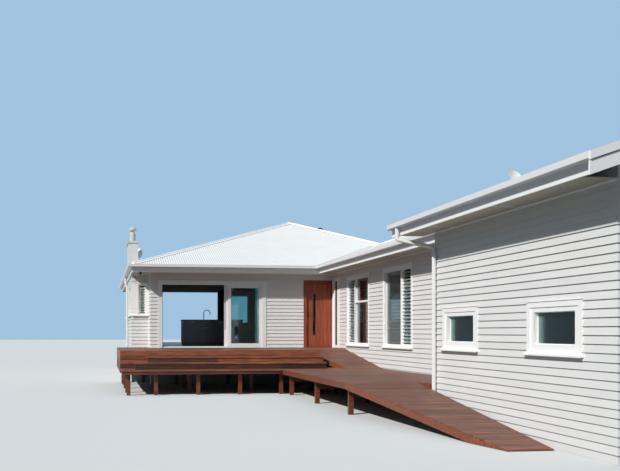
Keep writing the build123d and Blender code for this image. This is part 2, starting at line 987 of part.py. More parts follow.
def fixed_slider_pane():
    clear_east, width = slider_sizes()[1:]
    return slider_panel(clear_east - width, 0, False)[1]


def make_slider():
    clear_west, clear_east, width = slider_sizes()
    x0, x1 = slider_x, slider_x + slider_width
    depth = wall
    m = cut_margin
    clear = slider_head - slider_jamb
    frame = block(x0, x1, 0, depth, deck_top, slider_head)
    frame = frame - block(clear_west, clear_east, -m, depth + m, floor_top, clear)
    cover = facing_cover
    facing = block(x0 - cover, x1 + cover, -facing_proud, 0, deck_top, slider_head + cover)
    facing = facing - block(clear_west, clear_east, -facing_proud - m, m, deck_top - m, clear)
    frame = frame + facing
    rib_top = floor_top + track_height
    for track in (1, 2):
        mid_y = track_y(track) + panel_thickness / 2
        y0, y1 = mid_y - track_width / 2, mid_y + track_width / 2
        frame = frame + block(clear_west, clear_east, y0, y1, floor_top, rib_top)
    save("slider_frame", frame)
    fixed_x = clear_east - width
    fixed, _ = slider_panel(fixed_x, 0, False)
    save("slider_fixed_panel", fixed)
    for name, track in (("middle", 1), ("leading", 2)):
        panel, light = slider_panel(fixed_x - track * slider_stack_step, track, True)
        save(f"slider_{name}_panel", panel)
        save(f"slider_{name}_glass", light)


def rear_door_panel():
    """The closed part of the wide doorway on the sea side, and its pane."""
    x = rear_door_x + jamb
    y = main_depth - wall + panel_thickness
    low, high = floor_top, soffit_level - jamb
    end = x + rear_panel_width
    panel = ring_across_y(x, end, y, y + panel_thickness, low, high, panel_stile)
    mid_y = y + panel_thickness / 2
    light = block(
        x + panel_stile,
        end - panel_stile,
        mid_y - glass / 2,
        mid_y + glass / 2,
        low + panel_stile,
        high - panel_stile,
    )
    return panel, light


def make_rear_door():
    x0, x1 = rear_door_x, rear_door_x + rear_door_width
    y0, y1 = main_depth - wall, main_depth + facing_proud
    frame = block(x0, x1, y0, main_depth, deck_top, soffit_level)
    m = cut_margin
    head = soffit_level - jamb
    frame = frame - block(x0 + jamb, x1 - jamb, y0 - m, main_depth + m, floor_top, head)
    for side in (x0 - facing_cover, x1 - jamb):
        frame = frame + block(side, side + facing_cover + jamb, main_depth, y1, deck_top, soffit_level)
    frame = frame + rear_door_panel()[0]
    save("rear_door_frame", frame)


# Entry door, hinged on the hall side and opening inwards

def make_entry():
    x0, x1 = entry_x, mid_wall_x
    low = floor_top + door_clearance
    leaf_west = x0 + entry_jamb + door_clearance
    leaf_east = x1 - entry_jamb - door_clearance
    leaf_top = entry_head - entry_jamb - door_clearance
    inner_face = entry_recess + entry_leaf
    m = cut_margin
    clear = entry_head - entry_jamb
    frame = block(x0, x1, 0, inner_face, deck_top, entry_head)
    frame = frame - block(x0 + entry_jamb, x1 - entry_jamb, -m, wall, floor_top, clear)
    frame = frame + block(x0, x1, inner_face, wall, deck_top, floor_top)
    top = entry_head + facing_cover
    facing = block(x0 - facing_cover, x1 - facing_proud, -facing_proud, 0, deck_top, top)
    facing = facing - block(
        x0 + entry_jamb, x1 - entry_jamb, -facing_proud - m, m, deck_top - m, clear
    )
    frame = frame + facing
    leaf = block(leaf_west, leaf_east, entry_recess, inner_face, low, leaf_top)
    slot_west = leaf_west + entry_light_from_edge
    slot = (slot_west, slot_west + entry_light_width)
    leaf = leaf - block(*slot, 0, wall, entry_light_bottom, entry_light_top)
    hinge_x = leaf_east + door_clearance / 2
    hinge_y = inner_face + hinge_knuckle_radius
    r, knuckle = hinge_knuckle_radius, hinge_knuckle_length
    leaf_back = inner_face + hinge_leaf_thickness
    for z in hinge_heights:
        middle = Pos(hinge_x, hinge_y, z) * Cylinder(r, knuckle)
        low_tab, high_tab = z - knuckle / 2, z + knuckle / 2
        tab = block(hinge_x - hinge_leaf_width, hinge_x, inner_face, leaf_back, low_tab, high_tab)
        bore = Pos(hinge_x, hinge_y, z) * Cylinder(hinge_pin_radius + hinge_play, 2 * knuckle)
        leaf = leaf + ((middle + tab) - bore)
        pin = Pos(hinge_x, hinge_y, z) * Cylinder(hinge_pin_radius, 3 * knuckle)
        frame = frame + pin
        for side in (-1, 1):
            centre = z + side * (knuckle + hinge_play)
            end = Pos(hinge_x, hinge_y, centre) * Cylinder(r, knuckle)
            strap = block(
                hinge_x,
                x1 - entry_jamb / 2,
                inner_face,
                leaf_back,
                centre - knuckle / 2,
                centre + knuckle / 2,
            )
            frame = frame + end + strap
    mid_y = entry_recess + entry_leaf / 2
    light = block(*slot, mid_y - glass / 2, mid_y + glass / 2, entry_light_bottom, entry_light_top)
    save("entry_frame", frame)
    save("entry_door", leaf)
    save("entry_door_glass", light)


# Decks, steps and ramps

def make_decks():
    low = deck_top - deck_thickness
    j = panel_joint
    save(
        "main_deck",
        block(deck_west, deck_east, deck_front, 0, low, deck_top),
        block(deck_east + j, mid_wall_x, landing_front, 0, low, deck_top),
        block(deck_west, -j, j, bay_start, low, deck_top),
    )
    lower = lower_deck_top - deck_thickness
    last_front = step_fronts[2]
    save(
        "lower_deck",
        block(lower_deck_west, mid_wall_x, lower_deck_near, last_front - j, lower, lower_deck_top),
        block(near_wall_x - ramp_gap, mid_wall_x, -mid_length, lower_deck_near - j, lower, lower_deck_top),
    )
    save("deck_steps", *make_treads())


def make_treads():
    """Three tiers in front of the deck; the two lower ones also return along its west end."""
    (w1, w2, w3), (f1, f2, f3) = step_wests, step_fronts
    top1, top2, top3 = step_tops
    seat = 2 * skirt
    upper = block(w1, deck_east, f1, deck_front, top1 - tread_thickness, top1)
    middle = [
        (w2, f2),
        (deck_east, f2),
        (deck_east, f1 + seat),
        (w1 + seat, f1 + seat),
        (w1 + seat, deck_front),
        (w2, deck_front),
    ]
    # The lowest tier also fills the corner beside the upper ramp.
    edge = deck_east + cut_margin
    lowest = [
        (w3, f3),
        (upper_ramp_foot_x - cut_margin, f3),
        (edge, landing_front - corner_gap),
        (edge, f2 + seat),
        (w2 + seat, f2 + seat),
        (w2 + seat, deck_front),
        (w3, deck_front),
    ]
    return (
        upper,
        prism_up(middle, top2 - tread_thickness, top2),
        prism_up(lowest, top3 - tread_thickness, top3),
    )


def ramp(points, y_top, y_foot, top, foot, thickness):
    """A sloping platform of the given outline, from the high end to the low end."""
    slope = (top - foot) / (y_top - y_foot)
    body = prism_along_x(
        [(y_top, top), (y_foot, foot), (y_foot, foot - thickness), (y_top, top - thickness)],
        min(x for x, _ in points) - cut_margin,
        max(x for x, _ in points) + cut_margin,
    )
    return body & prism_up(points, 0, 2 * deck_top)


def upper_ramp_outline():
    foot = step_fronts[2]
    return [
        (deck_east + panel_joint, landing_front - panel_joint),
        (mid_wall_x, landing_front - panel_joint),
        (mid_wall_x, foot),
        (upper_ramp_foot_x, foot),
    ]


def lower_ramp_outline():
    edge = near_wall_x - ramp_gap - panel_joint
    return [
        (lower_deck_west, lower_deck_near - panel_joint),
        (edge, lower_deck_near - panel_joint),
        (edge, lower_ramp_foot_y),
        (lower_ramp_foot_x, lower_ramp_foot_y),
    ]


def upper_ramp():
    return largest(
        ramp(
            upper_ramp_outline(), landing_front, step_fronts[2], deck_top, lower_deck_top, ramp_thickness
        )
    )


def lower_ramp():
    return largest(
        ramp(
            lower_ramp_outline(),
            lower_deck_near,
            lower_ramp_foot_y,
            lower_deck_top,
            ramp_toe,
            ramp_thickness,
        )
    )


def make_ramps():
    save("ramps", upper_ramp(), lower_ramp())


def make_skirts():
    """Boards round the deck and the steps. They stop above the slope of the ground."""
    s, j = skirt, panel_joint
    low = deck_top - deck_thickness
    base = skirt_bottom
    boards = [
        # West end of the main deck, from the bay to the front
        block(deck_west, deck_west + s, deck_front + s + j, bay_start, base, low),
        # Front of the main deck beside and behind the steps
        block(deck_west, deck_east, deck_front, deck_front + s, base, low),
        # East end of the main deck, above the upper ramp
        block(deck_east - s, deck_east, deck_front + s + j, landing_front, base, low),
    ]
    # Risers stand on the tread below, set back by one board's thickness
    bases = (step_tops[1], step_tops[2], base)
    ends = (deck_east, deck_east, upper_ramp_foot_x - 2 * s)
    for top, front, west, east, foot in zip(step_tops, step_fronts, step_wests, ends, bases):
        under = top - tread_thickness
        boards.append(block(west + s, east, front + s, front + 2 * s, foot, under))
        boards.append(
            block(west + s, west + 2 * s, front + 2 * s + j, deck_front - j, foot, under)
        )
    save("deck_skirts", *boards)


def spread(start, end, width, pitch):
    """Even starting places of pieces of one width between two ends, pitch apart at most."""
    room = end - start - width
    count = max(1, math.ceil(room / pitch))
    return [start + room * i / count for i in range(count + 1)]


def make_deck_frame():
    """Posts, bearers along X and the steps' stringers, all below the boards."""
    bearers, posts = [], []

    def row(x0, x1, y, top, above=None):
        bearer = block(x0, x1, y, y + bearer_width, top - bearer_height, top)
        if above is not None:
            bearer = bearer - above
        bearers.append(bearer)
        side = (post - bearer_width) / 2
        for x in spread(x0, x1, post, post_spacing):
            y0 = y - side
            posts.append(block(x, x + post, y0, y0 + post, 0, top - bearer_height))

    low = deck_top - deck_thickness
    lower = lower_deck_top - deck_thickness
    west = deck_west + post_inset
    hall_side = mid_wall_x - post_inset
    front_y = deck_front + post_inset
    back_y = -post_inset - bearer_width
    middle_y = (front_y + back_y) / 2
    row(west, deck_east - post_inset, front_y, low)
    row(west, deck_east - post_inset, middle_y, low)
    row(west, hall_side, back_y, low)
    row(west, -post_inset, bay_start - post_inset - bearer_width, low)
    row(deck_east + post_inset, hall_side, landing_front + post_inset, low)
    start = lower_deck_near + post_inset
    end = step_fronts[2] - post_inset - bearer_width
    for i in range(deck_rows):
        y = start + (end - start) * i / (deck_rows - 1)
        row(lower_deck_west + post_inset, hall_side, y, lower)
    row(near_wall_x, hall_side, -mid_length + post_inset, lower)
    # Under the ramps the bearers are cut to the slope
    upper_edges = (upper_ramp_foot_x, mid_wall_x)
    lower_edges = (lower_ramp_foot_x, near_wall_x - ramp_gap)
    ramp_places = (
        (upper_ramp(), upper_edges, landing_front, step_fronts[2], deck_top, lower_deck_top),
        (lower_ramp(), lower_edges, lower_deck_near, lower_ramp_foot_y, lower_deck_top, ramp_toe),
    )
    for body, (x0, x1), y_top, y_foot, top, foot in ramp_places:
        run = y_top - y_foot
        for share in ramp_row_shares:
            level = top - (top - foot) * share - ramp_thickness
            if level - bearer_height > post / 2:
                rise = (top - foot) / run * bearer_width
                row(x0 + post_inset, x1 - post_inset, y_top - run * share, level + rise, body)
    save("deck_bearers", *bearers)
    save("deck_posts", *posts, *step_posts())
    save("deck_stringers", *make_stringers())


def make_stringers():
    """Sawn stringers that carry the treads of the three tiers."""
    (f1, f2, f3), s = step_fronts, 2 * skirt
    t1, t2, t3 = [top - tread_thickness for top in step_tops]
    back = deck_front - panel_joint
    teeth = [
        (back, skirt_bottom),
        (back, t1),
        (f1 + s, t1),
        (f1 + s, t2),
        (f2 + s, t2),
        (f2 + s, t3),
        (f3 + s, t3),
        (f3 + s, skirt_bottom),
    ]
    t = stringer_thickness
    west = step_wests[0] + s + post_inset
    return [prism_along_x(teeth, x, x + t) for x in stringer_places(west)]


def stringer_places(west):
    return spread(west, deck_east - post_inset, stringer_thickness, stringer_spacing)


def step_posts():
    """Short posts under the stringers' front, and one under each west return."""
    y = step_fronts[2] + 2 * skirt + post_inset
    side = (post - stringer_thickness) / 2
    west = step_wests[0] + 2 * skirt + post_inset
    places = [(x - side, y, skirt_bottom) for x in stringer_places(west)]
    places.append((step_wests[2] + post_inset, y, step_tops[2] - tread_thickness))
    return [block(x, x + post, y0, y0 + post, 0, z) for x, y0, z in places]


# Chimney, dishes and downpipes

def make_chimney():
    x0, x1 = chimney_x, chimney_x + chimney_width
    y0, y1 = chimney_y, chimney_y + chimney_length
    chase = block(x0, x1, y0, y1, soffit_level, chimney_top) - main_outer
    o = chimney_cap_overhang
    save("chimney", largest(chase))
    cap = block(x0 - o, x1 + o, y0 - o, y1 + o, chimney_top, chimney_top + chimney_cap_edge)
    middle = Pos((x0 + x1) / 2, (y0 + y1) / 2, 0)
    crown = extrude(
        Plane.XY * Rectangle(chimney_width + 2 * o, chimney_length + 2 * o),
        amount=chimney_cap - chimney_cap_edge,
        taper=chimney_cap_taper,
    )
    cap = cap + middle * Pos(0, 0, chimney_top + chimney_cap_edge) * crown
    # The flue and its cowl are turned about one upright line
    neck = flue_neck_radius
    profile = [
        (0, chimney_top),
        (flue_radius, chimney_top),
        (flue_radius, flue_top),
        (neck, flue_collar_top),
        (neck, cowl_bottom),
        (cowl_radius, cowl_bottom),
        (cowl_radius, cowl_rim),
        (cowl_crown_radius, cowl_top),
        (0, cowl_top),
    ]
    face = make_face(Polyline(*[(r, 0, z) for r, z in profile], close=True))
    save("chimney_flue", cap + middle * revolve(face, Axis.Z))


def dish(place, roof):
    """A shallow bowl on a boss and a pole that stands on the roof."""
    x, y, z, radius, depth, heading, tilt = place
    r = (radius**2 + depth**2) / (2 * depth)
    half = math.asin(radius / r)

    def on_bowl(share, reach):
        return (reach * math.sin(share * half), 0, r - reach * math.cos(share * half))

    back = r + dish_sheet
    rim = [
        ThreePointArc(on_bowl(0, r), on_bowl(0.5, r), on_bowl(1, r)),
        Line(on_bowl(1, r), on_bowl(1, back)),
        ThreePointArc(on_bowl(1, back), on_bowl(0.5, back), on_bowl(0, back)),
        Line(on_bowl(0, back), on_bowl(0, r)),
    ]
    bowl = revolve(make_face(rim), Axis.Z)
    boss = Pos(0, 0, -(dish_boss_length + dish_sheet) / 2) * Cylinder(
        dish_boss_radius, dish_boss_length
    )
    turn = Rot(0, 0, heading) * Rot(0, tilt, 0)
    seat = (turn * Pos(0, 0, -dish_boss_seat)).position
    drop = z - soffit_level
    pole = Pos(x + seat.X, y + seat.Y, z + seat.Z - drop / 2) * Cylinder(dish_post_radius, drop)
    return largest(Pos(x, y, z) * turn * (bowl + boss) + (pole - roof))


def make_dishes():
    save("satellite_dishes", dish(west_dish, main_outer), dish(hall_dish, mid_outer))


def make_vent():
    """A capped vent pipe behind the east hip."""
    profile = [
        (0, soffit_level),
        (vent_radius, soffit_level),
        (vent_radius, vent_neck_top),
        (vent_cowl_radius, vent_neck_top),
        (vent_cowl_radius, vent_cowl_rim),
        (vent_crown_radius, vent_top),
        (0, vent_top),
    ]
    face = make_face(Polyline(*[(r, 0, z) for r, z in profile], close=True))
    pipe = Pos(vent_x, vent_y, 0) * revolve(face, Axis.Z)
    save("roof_vent", largest(pipe - main_outer))


def pipe_run(points, bend):
    path = FilletPolyline(*points, radius=bend)
    start = Vector(*points[0])
    profile = Plane(origin=start, z_dir=Vector(*points[1]) - start) * Circle(pipe_radius)
    return sweep(profile, path)


def make_downpipes():
    gutter_base = gutter_lip_level - gutter_height
    turn_level = gutter_base - pipe_drop
    wall_level = turn_level - pipe_slant_drop
    near_x = near_wall_x - pipe_wall_gap - pipe_radius
    near_y = -mid_length - pipe_from_corner
    near_gutter_x = near_wall_x - eave_overhang - gutter_width / 2
    outlet_y = return_end - outlet_from_corner
    near_pipe = pipe_run(
        [
            (near_gutter_x, outlet_y, gutter_base),
            (near_gutter_x, outlet_y, turn_level),
            (near_x, near_y, wall_level),
            (near_x, near_y, 0),
        ],
        pipe_bend,
    )
    west_x = -bay_depth - pipe_wall_gap - pipe_radius
    west_gutter_x = -eave_overhang - gutter_width / 2
    west_pipe = pipe_run(
        [
            (west_gutter_x, west_pipe_y, gutter_base),
            (west_gutter_x, west_pipe_y, turn_level),
            (west_x, west_pipe_y, wall_level),
            (west_x, west_pipe_y, 0),
        ],
        pipe_bend,
    )
    save("downpipes", near_pipe, west_pipe)


# Kitchen island with its tall curved tap

def make_island():
    base = floor_top
    top = base + island_height
    o = island_overhang
    x1, y1 = island_x + island_width, island_y + island_depth
    save("kitchen_island", block(island_x, x1, island_y, y1, base, top - island_top_thickness))
    save(
        "kitchen_worktop",
        block(island_x - o, x1 + o, island_y - o, y1 + o, top - island_top_thickness, top),
    )
    bend = tap_reach / 2
    points = [
        (tap_x, tap_y, top),
        (tap_x, tap_y, top + tap_height),
        (tap_x + tap_reach, tap_y, top + tap_height),
        (tap_x + tap_reach, tap_y, top + tap_height - bend - tap_spout),
    ]
    path = FilletPolyline(*points, radius=bend - cut_margin)
    save("kitchen_tap", sweep(Plane(origin=points[0]) * Circle(tap_radius), path))


make_roofs()
make_caps()
make_walls()
make_floor_and_ceiling()
make_soffits()
make_fascias()
make_gutters()
make_barges()
make_windows()
make_slider()
make_rear_door()
make_entry()
make_decks()
make_ramps()
make_skirts()
make_deck_frame()
make_chimney()
make_dishes()
make_vent()
make_downpipes()
make_island()
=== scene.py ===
import bpy
import bmesh
import json
import math
import random
from mathutils import Matrix, Vector


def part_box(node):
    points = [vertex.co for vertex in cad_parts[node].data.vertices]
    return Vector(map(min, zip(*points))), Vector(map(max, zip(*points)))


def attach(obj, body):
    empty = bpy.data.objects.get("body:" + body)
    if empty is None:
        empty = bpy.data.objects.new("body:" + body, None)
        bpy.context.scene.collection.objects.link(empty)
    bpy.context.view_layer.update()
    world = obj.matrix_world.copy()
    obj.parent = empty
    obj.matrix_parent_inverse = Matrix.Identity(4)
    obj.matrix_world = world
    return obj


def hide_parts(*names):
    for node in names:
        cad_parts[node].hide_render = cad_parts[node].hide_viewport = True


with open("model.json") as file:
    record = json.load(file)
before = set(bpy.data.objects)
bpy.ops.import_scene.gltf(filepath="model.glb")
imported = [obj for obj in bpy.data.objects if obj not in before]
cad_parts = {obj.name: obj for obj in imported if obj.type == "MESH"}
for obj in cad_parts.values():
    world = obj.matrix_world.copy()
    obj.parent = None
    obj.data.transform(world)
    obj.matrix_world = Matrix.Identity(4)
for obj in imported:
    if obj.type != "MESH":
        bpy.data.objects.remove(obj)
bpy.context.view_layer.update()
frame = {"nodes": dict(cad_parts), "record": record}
print("frame loaded:", len(frame["nodes"]), "nodes")

# The house is set out from the south-west corner of its main block
corner = Vector((*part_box("south_wall_piers")[0].xy, 0))


# Camera and light

cameraSet = {
    "fromCorner": (-1.60, -26.59, 1.70),
    "yaw": 7.67,  # degrees east of north
    "lens": 46.99,
    "shiftX": 0.16,
    "shiftY": 0.1558,
    "sensor": 36,
    "clip": (0.1, 400),
}
lightSet = {
    "travel": (0.683, 0.453, -0.573),
    "sunStrength": 3.8,
    "sunColour": (1.0, 0.97, 0.93),
    "sunAngle": 1.6,  # degrees, gives the eave shadows a soft edge
    "skyLow": 0.16,  # strength at the horizon
    "skyHigh": 0.44,  # strength overhead
    "skyFade": (0.2, 0.8),  # heights between which it grows
    "skyColour": (0.66, 0.83, 1.0),
    "floorColour": (0.70, 0.72, 0.72),
    "floorBounce": (0.15, 0.16, 0.16),
    "backColour": (0.36, 0.55, 0.74),
    "floorSize": 160.0,
    "floorBelow": 0.002,
}


def makeCamera():
    data = bpy.data.cameras.new("camera")
    data.sensor_width = cameraSet["sensor"]
    data.lens = cameraSet["lens"]
    data.shift_x, data.shift_y = cameraSet["shiftX"], cameraSet["shiftY"]
    data.clip_start, data.clip_end = cameraSet["clip"]
    camera = bpy.data.objects.new("camera", data)
    bpy.context.scene.collection.objects.link(camera)
    camera.location = corner + Vector(cameraSet["fromCorner"])
    camera.rotation_euler = (math.radians(90), 0, -math.radians(cameraSet["yaw"]))
    bpy.context.scene.camera = camera


def makeLight():
    data = bpy.data.lights.new("sun", "SUN")
    data.energy = lightSet["sunStrength"]
    data.color = lightSet["sunColour"]
    data.angle = math.radians(lightSet["sunAngle"])
    sun = bpy.data.objects.new("sun", data)
    sun.rotation_euler = Vector(lightSet["travel"]).to_track_quat("-Z", "Y").to_euler()
    bpy.context.scene.collection.objects.link(sun)
    world = bpy.data.worlds.new("world")
    bpy.context.scene.world = world
    world.use_nodes = True
    world.node_tree.nodes.clear()
    coords = addNode(world, "TexCoord").outputs["Generated"]
    height = addNode(world, "SeparateXYZ", Vector=coords).outputs["Z"]
    strength = ranged(world, height, *lightSet["skyFade"], lightSet["skyLow"], lightSet["skyHigh"])
    sky = addNode(world, "Background", Color=(*lightSet["skyColour"], 1), Strength=strength)
    back = addNode(world, "Background", Color=(*lightSet["backColour"], 1))
    addNode(world, "OutputWorld", Surface=mixShaders(world, seenRays(world), sky, back))
    bpy.context.scene.view_settings.view_transform = "Standard"


# Materials: each is a shader with its colour, roughness and relief worked from object coordinates

def startMaterial(name, roughness):
    made = bpy.data.materials.new(name)
    made.use_nodes = True
    shader = made.node_tree.nodes["Principled BSDF"]
    shader.inputs["Roughness"].default_value = roughness
    return made, shader


def addNode(made, kind, settings=None, **inputs):
    node = made.node_tree.nodes.new("ShaderNode" + kind)
    for key, value in (settings or {}).items():
        setattr(node, key, value)
    for key, value in inputs.items():
        socket = node.inputs[key.replace("_", " ")]
        if isinstance(value, bpy.types.NodeSocket):
            made.node_tree.links.new(value, socket)
        else:
            socket.default_value = value
    return node


# What one of the Math node's operations makes of two numbers or sockets
def maths(made, operation, first, second):
    node = addNode(made, "Math", {"operation": operation})
    for socket, value in zip(node.inputs, (first, second)):
        if isinstance(value, bpy.types.NodeSocket):
            made.node_tree.links.new(value, socket)
        else:
            socket.default_value = value
    return node.outputs[0]


# A value carried from one range to another and held at its ends
def ranged(made, value, start, end, low=0.0, high=1.0, shape="LINEAR"):
    return addNode(
        made, "MapRange", {"interpolation_type": shape}, Value=value,
        From_Min=start, From_Max=end, To_Min=low, To_Max=high,
    ).outputs["Result"]


# 1 on a ray that shows the surface to the camera, in a mirror or through glass
def seenRays(made):
    path = addNode(made, "LightPath")
    seen = maths(made, "MAXIMUM", path.outputs["Is Camera Ray"], path.outputs["Is Glossy Ray"])
    return maths(made, "MAXIMUM", seen, path.outputs["Is Transmission Ray"])


def mixShaders(made, share, first, second):
    mix = addNode(made, "MixShader", Fac=share)
    made.node_tree.links.new(first.outputs[0], mix.inputs[1])
    made.node_tree.links.new(second.outputs[0], mix.inputs[2])
    return mix.outputs[0]


def mixColours(made, share, first, second, blend="MIX"):
    return addNode(
        made, "MixRGB", {"blend_type": blend}, Fac=share, Color1=first, Color2=second
    ).outputs["Color"]


# One of the object coordinates
def coordinate(made, axis):
    coords = addNode(made, "TexCoord").outputs["Object"]
    return addNode(made, "SeparateXYZ", Vector=coords).outputs[axis]


# Object coordinates scaled by (x, y, z)
def stretched(made, scale):
    coords = addNode(made, "TexCoord")
    return addNode(made, "Mapping", Vector=coords.outputs["Object"], Scale=scale).outputs["Vector"]


def ramp(made, fac, stops):
    node = addNode(made, "ValToRGB", Fac=fac)
    elements = node.color_ramp.elements
    while len(elements) < len(stops):
        elements.new(0.5)
    for element, (place, colour) in zip(elements, stops):
        element.position = place
        element.color = (*colour, 1)
    return node.outputs["Color"]


reliefDepth = 0.002


def relief(made, shader, height, strength):
    bump = addNode(made, "Bump", Strength=strength, Distance=reliefDepth, Height=height)
    made.node_tree.links.new(bump.outputs["Normal"], shader.inputs["Normal"])


def colourInto(made, shader, socket):
    made.node_tree.links.new(socket, shader.inputs["Base Color"])


def noise(made, scale, detail=4.0, stretch=(1, 1, 1)):
    return addNode(
        made, "TexNoise", Vector=stretched(made, stretch), Scale=scale, Detail=detail
    ).outputs["Fac"]


# A colour made lighter or darker by a factor
def scaled(made, colour, factor):
    return addNode(
        made, "VectorMath", {"operation": "SCALE"}, Vector=colour, Scale=factor
    ).outputs["Vector"]


# A colour made lighter or darker by the tone that each board carries
def toned(made, colour, amount):
    tone = addNode(made, "Attribute", {"attribute_name": "boardTone"}).outputs["Fac"]
    return scaled(made, colour, ranged(made, tone, 0, 1, 1 - amount, 1 + amount))


# Brushed paint: a slightly uneven colour with fine brush marks along the grain
def paint(name, colour, roughness=0.5, spread=0.03, grain=(1, 1, 1), bump=0.08, tone=0.0):
    made, shader = startMaterial(name, roughness)
    low = tuple(c * (1 - spread) for c in colour)
    high = tuple(min(1, c * (1 + spread)) for c in colour)
    mixed = ramp(made, noise(made, 1.3), [(0.3, low), (0.7, high)])
    if tone:
        mixed = toned(made, mixed, tone)
    colourInto(made, shader, mixed)
    relief(made, shader, noise(made, 60, 3, grain), bump)
    return made


# Oiled wood with its grain along the axis that the stretch leaves long. Where top is
# given, faces that look up take its colours, as boards out in the weather do. low gives two
# heights and how dark the wood is below the first, as painted shade on the low boards.
def timber(name, stops, grain, roughness=0.5, scale=6.0, tone=0.0, top=None, low=None):
    made, shader = startMaterial(name, roughness)
    places = (0.3, 0.5, 0.72)
    streaks = noise(made, scale, 8, grain)
    colour = ramp(made, streaks, list(zip(places, stops)))
    if top:
        weathered = ramp(made, streaks, list(zip(places, top)))
        normal = addNode(made, "NewGeometry").outputs["Normal"]
        height = addNode(made, "SeparateXYZ", Vector=normal).outputs["Z"]
        colour = mixColours(made, ranged(made, height, 0.6, 0.9), colour, weathered)
    if tone:
        colour = toned(made, colour, tone)
    # Painted shade: darker below the first height of low
    if low:
        colour = scaled(made, colour, ranged(made, coordinate(made, "Z"), *low))
    colourInto(made, shader, colour)
    relief(made, shader, noise(made, scale * 3, 6, grain), 0.25)
    return made


# Laid boards along Y with thin joints
def planks(name, colours, joint, width, length, roughness, gloss=0.5, tone=0.5):
    made, shader = startMaterial(name, roughness)
    shader.inputs["Specular IOR Level"].default_value = gloss
    coords = addNode(made, "TexCoord").outputs["Object"]
    laid = addNode(made, "Mapping", Vector=coords, Rotation=(0, 0, math.radians(90)))
    boards = addNode(
        made, "TexBrick", {"offset": 0.37, "offset_frequency": 3},
        Vector=laid.outputs["Vector"],
        Scale=1.0, Mortar_Size=0.003, Mortar_Smooth=0.2, Brick_Width=length, Row_Height=width,
        Color1=(*colours[0], 1), Color2=(*colours[1], 1), Mortar=(*joint, 1), Bias=0.0,
    )
    grain = noise(made, 5.0, 8, (8, 0.5, 8))
    streaks = ramp(made, grain, [(0.3, (1 - tone,) * 3), (0.7, (1.0,) * 3)])
    colourInto(made, shader, mixColours(made, 1.0, boards.outputs["Color"], streaks, "MULTIPLY"))
    relief(made, shader, boards.outputs["Fac"], -0.3)
    return made


def glazing(name, colour, roughness, clearness=1.0):
    made, shader = startMaterial(name, roughness)
    shader.inputs["Base Color"].default_value = (*colour, 1)
    shader.inputs["Transmission Weight"].default_value = clearness
    shader.inputs["IOR"].default_value = 1.45
    return made


boardPaint = paint("boardPaint", (0.695, 0.695, 0.685), 0.5, 0.02, (0.15, 0.15, 4), 0.06, 0.025)
trimPaint = paint("trimPaint", (0.87, 0.87, 0.865), 0.42, 0.015)
# Soffit lining darkened and warmed as painted shade and painted bounce light from the deck
liningShadePaint = paint("liningShadePaint", (0.47, 0.44, 0.355), 0.6, 0.02)
ironPaint = paint("ironPaint", (0.79, 0.78, 0.76), 0.36, 0.02)
# Paler than the iron as painted light, to make up for the shade in the creases beside the rolls
litCapPaint = paint("litCapPaint", (0.93, 0.93, 0.92), 0.4, 0.01)
gutterPaint = paint("gutterPaint", (0.74, 0.75, 0.75), 0.35, 0.015)
aluminium = paint("doorAluminium", (0.78, 0.78, 0.78), 0.35, 0.01)
# Near-black, painted shade on the frame of the sea door and in the reveals of the narrow light
shadeAluminium = paint("shadeAluminium", (0.028, 0.028, 0.032), 0.4, 0.05)
steel = paint("flueSteel", (0.56, 0.57, 0.58), 0.35, 0.06)
clearGlass = glazing("clearGlass", (0.66, 0.83, 0.83), 0.01)
obscureGlass = glazing("obscureGlass", (0.22, 0.37, 0.39), 0.4)
louvreGlass = glazing("louvreGlass", (0.78, 0.86, 0.86), 0.03, 0.78)
glassEdge = paint("glassEdge", (0.62, 0.74, 0.71), 0.2, 0.02)
uprightGrain, levelGrain = (7, 7, 0.4), (0.4, 7, 7)
cedar = timber(
    "cedar",
    ((0.195, 0.035, 0.014), (0.31, 0.066, 0.026), (0.41, 0.106, 0.042)),
    uprightGrain,
    tone=0.16,
)
deckTimber = timber(
    "deckTimber",
    ((0.10, 0.027, 0.012), (0.21, 0.058, 0.024), (0.34, 0.115, 0.052)),
    levelGrain,
    tone=0.3,
    top=((0.112, 0.046, 0.030), (0.178, 0.076, 0.049), (0.265, 0.128, 0.086)),
)
# Skirt boards, darker near the ground as painted shade
frontTimber = timber(
    "frontTimber",
    ((0.085, 0.023, 0.010), (0.19, 0.054, 0.021), (0.33, 0.115, 0.048)),
    levelGrain,
    tone=0.6,
    low=(0.80, 0.86, 0.45),
)
floorTimber = planks(
    "floorTimber", ((0.20, 0.12, 0.07), (0.12, 0.07, 0.04)), (0.03, 0.02, 0.012),
    width=0.13, length=2.1, roughness=0.3,
)
# Near-black ceiling, painted shade in the room
ceilingShadeBoards = planks(
    "ceilingShadeBoards", ((0.060, 0.055, 0.053), (0.042, 0.038, 0.037)), (0.01, 0.01, 0.01),
    width=0.14, length=4.2, roughness=0.95, gloss=0.05,
)
cabinet = paint("cabinetStain", (0.035, 0.03, 0.03), 0.35)
worktop = paint("worktopStone", (0.03, 0.03, 0.032), 0.12)
# Dark walls on the sea side, painted shade in the room
roomShadePaint = paint("roomShadePaint", (0.13, 0.135, 0.14), 0.6)
cabinetFront = paint("cabinetFront", (0.075, 0.068, 0.072), 0.3)
blackMetal = paint("blackMetal", (0.02, 0.02, 0.02), 0.3)

finishOf = {
    "painted_boards": boardPaint,
    "painted_trim": trimPaint,
    "lining_board": liningShadePaint,
    "roof_iron": ironPaint,
    "gutter_metal": gutterPaint,
    "flue_metal": steel,
    "door_aluminium": aluminium,
    "clear_glass": clearGlass,
    "obscure_glass": obscureGlass,
    "cedar": cedar,
    "deck_timber": deckTimber,
    "floor_timber": floorTimber,
    "dark_cabinet": cabinet,
    "dark_worktop": worktop,
    "black_metal": blackMetal,
}
